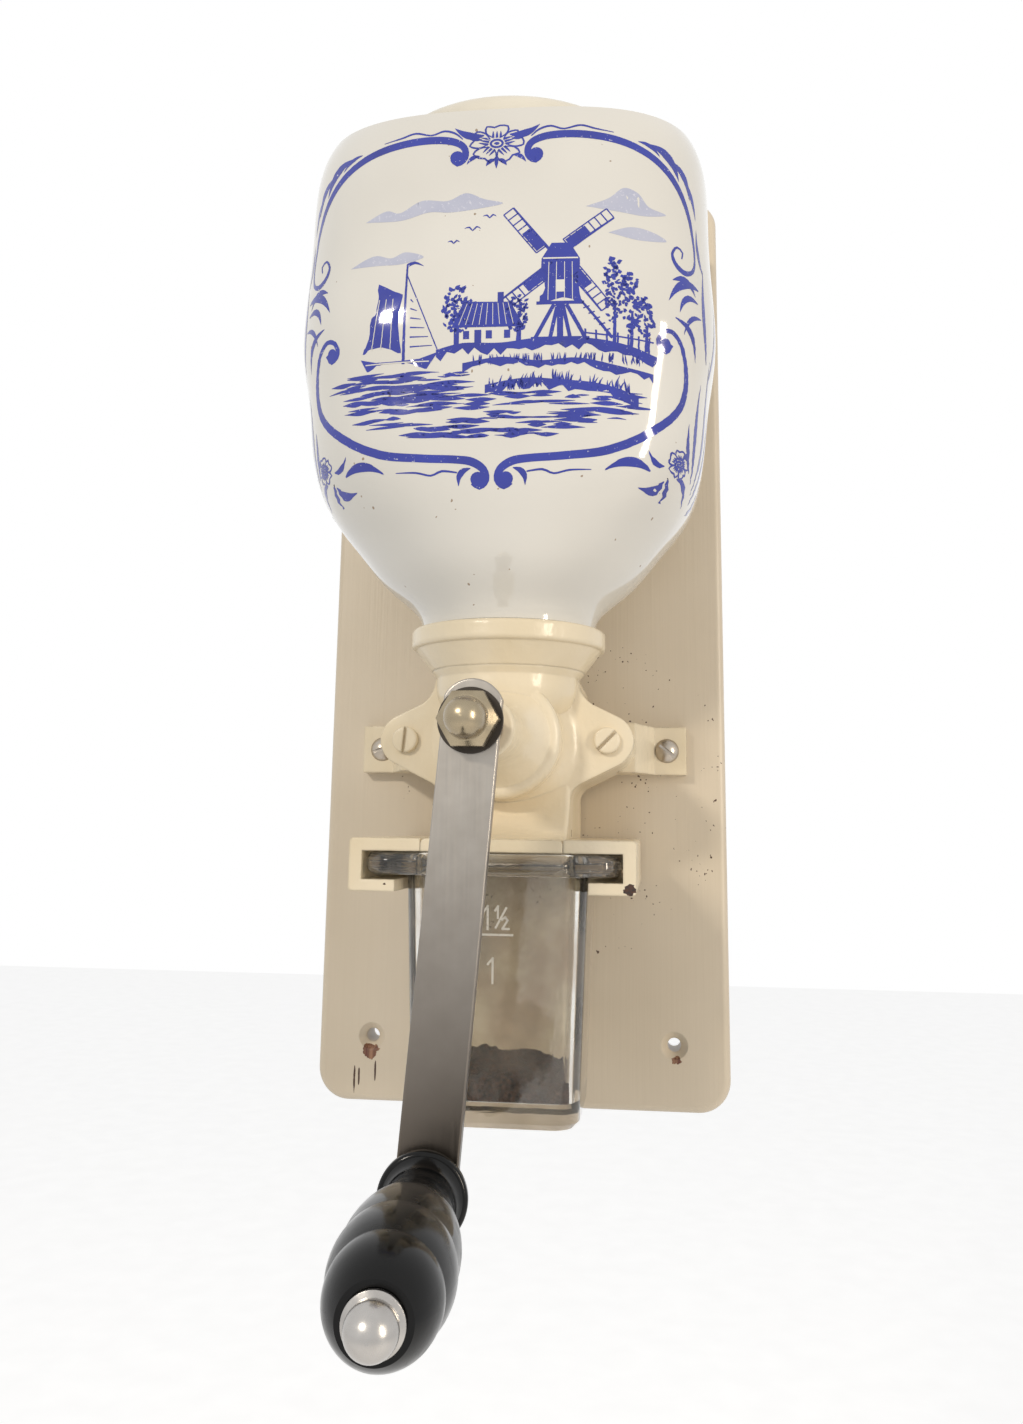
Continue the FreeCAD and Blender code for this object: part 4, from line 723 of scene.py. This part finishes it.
post_mill(17.5, 70.5)
barge(-25.5, 55.5)
farm(-1.5, 60.0)
tree(-9.5, 60.0, 15.0, 8.0)
tree(6.5, 60.5, 12.0, 6.0)
tree(31.5, 59.0, 24.0, 5.0)
tree(36.0, 58.5, 20.0, 4.6)
tree(40.0, 58.0, 14.0, 4.4)
bank([(-15.0, 58.8), (-8.0, 60.4), (2.0, 60.2), (12.0, 61.2), (24.0, 61.0), (34.0, 59.6), (43.0, 57.0)], 3.4)
bank([(-8.0, 55.0), (2.0, 56.4), (12.0, 55.2), (22.0, 55.8), (32.0, 54.0), (42.0, 52.4)], 2.6)
bank([(-2.0, 49.0), (8.0, 50.6), (18.0, 50.0), (28.0, 49.0), (38.0, 46.2)], 3.2)
for _ in range(70):
    reed = random.uniform(-1.0, 36.0)
    foot = 48.5 - abs(reed - 16) * 0.10
    scenery.leaf((reed, foot), (reed + random.uniform(-1.2, 1.6), foot + random.uniform(2.0, 4.6)), 0.5, 0.05)
for _ in range(60):
    tuft = random.uniform(-6.0, 40.0)
    scenery.leaf((tuft, 54.5 + random.uniform(-0.6, 0.6)), (tuft + random.uniform(-0.8, 0.8), 57.2), 0.4)
ripples(-41.0, 40.0, 35.0, 47.0, 120)
ripples(-42.0, -6.0, 45.0, 53.5, 60)
for post in range(7):
    scenery.stroke([(24.0 + post * 2.8, 59.4 - post * 0.3, 0.5), (24.0 + post * 2.8, 63.4 - post * 0.3, 0.5)])
scenery.stroke([(23.0, 62.4, 0.4), (42.0, 60.6, 0.4)])
for u, z, size in ((-6.0, 92.0, 2.2), (-1.5, 95.5, 1.8), (-11.0, 88.5, 1.6)):
    scenery.stroke([(u - size, z + size * 0.3, 0.1), (u - size * 0.4, z + size * 0.45, 0.45), (u, z, 0.35),
                    (u + size * 0.5, z + size * 0.5, 0.45), (u + size, z + size * 0.2, 0.1)])
CLOUDS = [[(-36, 97), (-30, 99.5), (-26, 98.5), (-20, 101.5), (-13, 101), (-8, 103), (-3, 101), (2, 99.6), (-4, 98.4),
           (-12, 97.6), (-18, 98), (-26, 96.2)],
          [(-40, 84), (-33, 86.6), (-28, 85.4), (-24, 86.8), (-19, 85), (-25, 83.4), (-32, 83.6)],
          [(24, 98), (30, 100.4), (34, 103.6), (38, 102.4), (41, 98.8), (46, 97.4), (40, 96), (33, 96.6)],
          [(30, 90.5), (36, 92.4), (42, 91.6), (46, 89.6), (38, 88.8)]]
for outline in CLOUDS:
    clouds.patch(outline, smooth=True)
cobalt = glaze("cobalt_print_under_glaze", printed("#18248A", "#2436AC", 0.68))
wash = glaze("grey_blue_print_under_glaze", printed("#A9AEC6", "#BFC2D2", 0.62))
border.lay("scroll_print", cobalt, 0.05)
scenery.lay("landscape_print", cobalt, 0.05)
clouds.lay("cloud_print", wash, 0.03)
reserve.lay("white_lines", FINISHES["hopper"], 0.09)

# %% [markdown]
# ## In the glass cup
# Marks for the amount are pressed into the front wall, and a little ground coffee lies on the floor.
# The coffee isn't part of the mill's solids; it is a heap of its own that rides with the cup.

# %% Ground coffee
cup_low, cup_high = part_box("glass_cup")
cup_middle = (cup_low + cup_high) / 2
CUP_FLOOR = cup_low.z + 6 * MM
HEAP_HALF = 18.2 * MM


def add_piece(name, verts, faces, material, body):
    """One mesh piece in the part's frame, riding on a body."""
    mesh = bpy.data.meshes.new(name)
    mesh.from_pydata(verts, [], faces)
    mesh.polygons.foreach_set("use_smooth", [True] * len(mesh.polygons))
    mesh.materials.append(material)
    piece = bpy.data.objects.new(name, mesh)
    bpy.context.scene.collection.objects.link(piece)
    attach(piece, body)
    return piece


def heap_of_coffee():
    """A lumpy heap, higher on the left, closed by a flat underside."""
    count = 60
    verts, faces = [], []
    for layer in (0, 1):
        for j in range(count + 1):
            for i in range(count + 1):
                x, y = (2 * i / count - 1), (2 * j / count - 1)
                lump = noise.noise(Vector((x * 2.2, y * 2.2, 3.0))) * 2.4 + noise.noise(Vector((x * 9, y * 9, 1.0))) * 1.0
                height = (6.2 - 1.6 * x + lump) * MM if layer else 0.1 * MM
                verts.append((cup_middle.x + x * HEAP_HALF, cup_middle.y + y * HEAP_HALF, CUP_FLOOR + height))
    row = count + 1
    for j in range(count):
        for i in range(count):
            a = j * row + i
            faces.append((a, a + row, a + row + 1, a + 1))
            top = a + row * row
            faces.append((top, top + 1, top + row + 1, top + row))
    rim = ([i for i in range(count)] + [count + j * row for j in range(count)]
           + [count * row + count - i for i in range(count)] + [(count - j) * row for j in range(count)])
    for a, b in zip(rim, rim[1:] + rim[:1]):
        faces.append((a, b, b + row * row, a + row * row))
    return add_piece("ground_coffee", verts, faces, ground_coffee(), "cup")


heap_of_coffee()

# %% Marks on the cup
CUP_TREE = BVHTree.FromPolygons([v.co for v in nodes["glass_cup"].data.vertices],
                                [p.vertices for p in nodes["glass_cup"].data.polygons])
MARK_WIDTH = 0.55
MARK_LIFT = 0.12
MARKS = [[(-1.3, -97.6), (-0.1, -96.2), (-0.1, -102.2)],
         [(-2.6, -84.8), (-1.5, -83.4), (-1.5, -89.0)],
         [(0.4, -84.4), (1.1, -83.4), (1.1, -86.2)],
         [(0.6, -88.6), (3.2, -83.8)],
         [(2.2, -86.6), (3.0, -86.0), (3.6, -86.8), (2.3, -88.9), (3.9, -88.9)],
         [(-3.2, -90.4), (4.8, -90.4)]]


def front_of_cup(x_mm, z_mm):
    """The point of the cup's front wall at a place seen from in front, raised by the mark's lift."""
    place, normal, _, _ = CUP_TREE.ray_cast(Vector((x_mm * MM, -0.2, z_mm * MM)), Vector((0, 1, 0)))
    return place + normal * MARK_LIFT * MM


def press_marks():
    """Numbers and a line as thin raised bars on the cup's front."""
    verts, faces = [], []
    for mark in MARKS:
        for a, b in zip(mark, mark[1:]):
            run = (Vector(b) - Vector(a)).normalized()
            side = Vector((-run.y, run.x)) * MARK_WIDTH / 2
            ends = [Vector(a) - run * MARK_WIDTH / 2, Vector(b) + run * MARK_WIDTH / 2]
            first = len(verts)
            verts += [front_of_cup(*(end + turn * side)) for end in ends for turn in (1, -1)]
            faces.append((first, first + 1, first + 3, first + 2))
    add_piece("cup_marks", verts, faces, frosted_glass(), "cup")
    print("cup marks:", len(faces), "bars")


press_marks()

# %% [markdown]
# ## Studio
# A pale floor far below and an even white surround keep the light soft. One broad lamp high on the left
# gives the jar its highlight, and a weaker one on the right fills the shadows.

# %% Floor, world and lamps


LIGHT_OF_SURROUND = 0.54
GLOW_OF_FLOOR = 0.45


def studio_floor():
    """Pale paper. It glows a little for the camera, so that it is white but keeps the mill's shadow."""
    size, level = 4.0, cad_box[0].z - 0.45
    mesh = bpy.data.meshes.new("studio_floor")
    mesh.from_pydata([(-size, -size, level), (size, -size, level), (size, size, level), (-size, size, level)], [],
                     [(0, 1, 2, 3)])
    material = start("pale_paper")
    fibres = speckle(material, place_in_mm(material), 40.0)
    colour = ramp(material, fibres, [(0.3, grey(0.86)), (0.7, grey(0.90))])
    rays = add(material, "LightPath")
    seen = maths(material, "MAXIMUM", rays.outputs["Is Camera Ray"], rays.outputs["Is Glossy Ray"])
    seen = maths(material, "MAXIMUM", seen, rays.outputs["Is Transmission Ray"])
    glow = add(material, "Emission", {"Strength": maths(material, "MULTIPLY", seen, GLOW_OF_FLOOR)})
    paper = add(material, "BsdfDiffuse", {"Color": colour})
    mesh.materials.append(finish_with(material, add(material, "AddShader", {0: paper.outputs[0], 1: glow.outputs[0]})))
    floor = bpy.data.objects.new("studio_floor", mesh)
    bpy.context.scene.collection.objects.link(floor)


def surround():
    """A white world for the camera and in reflections, and a softer one as light."""
    world = bpy.data.worlds.new("surround")
    world.use_nodes = True
    tree = world.node_tree
    tree.nodes.clear()
    rays = add(world, "LightPath")
    seen = maths(world, "MAXIMUM", rays.outputs["Is Camera Ray"], rays.outputs["Is Transmission Ray"])
    seen = maths(world, "MAXIMUM", seen, rays.outputs["Is Glossy Ray"])
    strength = add(world, "MapRange", {0: seen})
    strength.inputs["To Min"].default_value = LIGHT_OF_SURROUND
    strength.inputs["To Max"].default_value = 1.0
    glow = add(world, "Background", {"Strength": strength.outputs[0]}, Color=grey(1.0))
    output = tree.nodes.new("ShaderNodeOutputWorld")
    tree.links.new(glow.outputs[0], output.inputs[0])
    bpy.context.scene.world = world


def lamp(name, spot, target, size, power, colour="#FFFFFF"):
    """An area lamp of a width and height that looks at a target."""
    light = bpy.data.lights.new(name, "AREA")
    light.shape = "RECTANGLE"
    light.size, light.size_y = size
    light.energy = power
    light.color = linear(colour)[:3]
    holder = bpy.data.objects.new(name, light)
    holder.location = spot
    holder.rotation_euler = (Vector(target) - Vector(spot)).to_track_quat("-Z", "Y").to_euler()
    bpy.context.scene.collection.objects.link(holder)


studio_floor()
surround()
lamp("key_lamp", (-0.45, -0.95, 0.42), (0, -0.05, 0), (0.16, 0.08), 4.2, "#FFF6E8")
lamp("fill_lamp", (0.9, -0.7, 0.1), (0, -0.05, 0), (0.10, 0.5), 4.6, "#FFF1DC")

# %% [markdown]
# ## Camera
# The camera stands close in front of the mill, a little right of its middle and below the hopper, and
# looks slightly up, as someone would who holds a phone at arm's length.

# %% Camera
PHOTO_SIZE = (1023, 1424)
SENSOR = 36.0
FOCAL_PIXELS = 1196.9
OPTICAL_CENTRE = (519.2, 604.8)
CAMERA_PLACE = (0.04174, -0.38972, -0.06322)
YAW, PITCH, ROLL = math.radians(6.66), math.radians(10.47), math.radians(-0.77)


def photo_camera():
    camera = bpy.data.cameras.new("photo_camera")
    camera.sensor_width = SENSOR
    camera.lens = FOCAL_PIXELS * SENSOR / PHOTO_SIZE[1]
    camera.shift_x = (PHOTO_SIZE[0] / 2 - OPTICAL_CENTRE[0]) / PHOTO_SIZE[1]
    camera.shift_y = (OPTICAL_CENTRE[1] - PHOTO_SIZE[1] / 2) / PHOTO_SIZE[1]
    camera.clip_start = 0.01
    holder = bpy.data.objects.new("photo_camera", camera)
    turned = Matrix.Rotation(YAW, 3, "Z") @ Matrix.Rotation(PITCH, 3, "X") @ Matrix.Rotation(ROLL, 3, "Y")
    right, ahead, up = turned.col
    holder.matrix_world = Matrix.Translation(CAMERA_PLACE) @ Matrix((right, up, -ahead)).transposed().to_4x4()
    bpy.context.scene.collection.objects.link(holder)
    bpy.context.scene.camera = holder


photo_camera()
bpy.context.scene.view_settings.view_transform = "Standard"
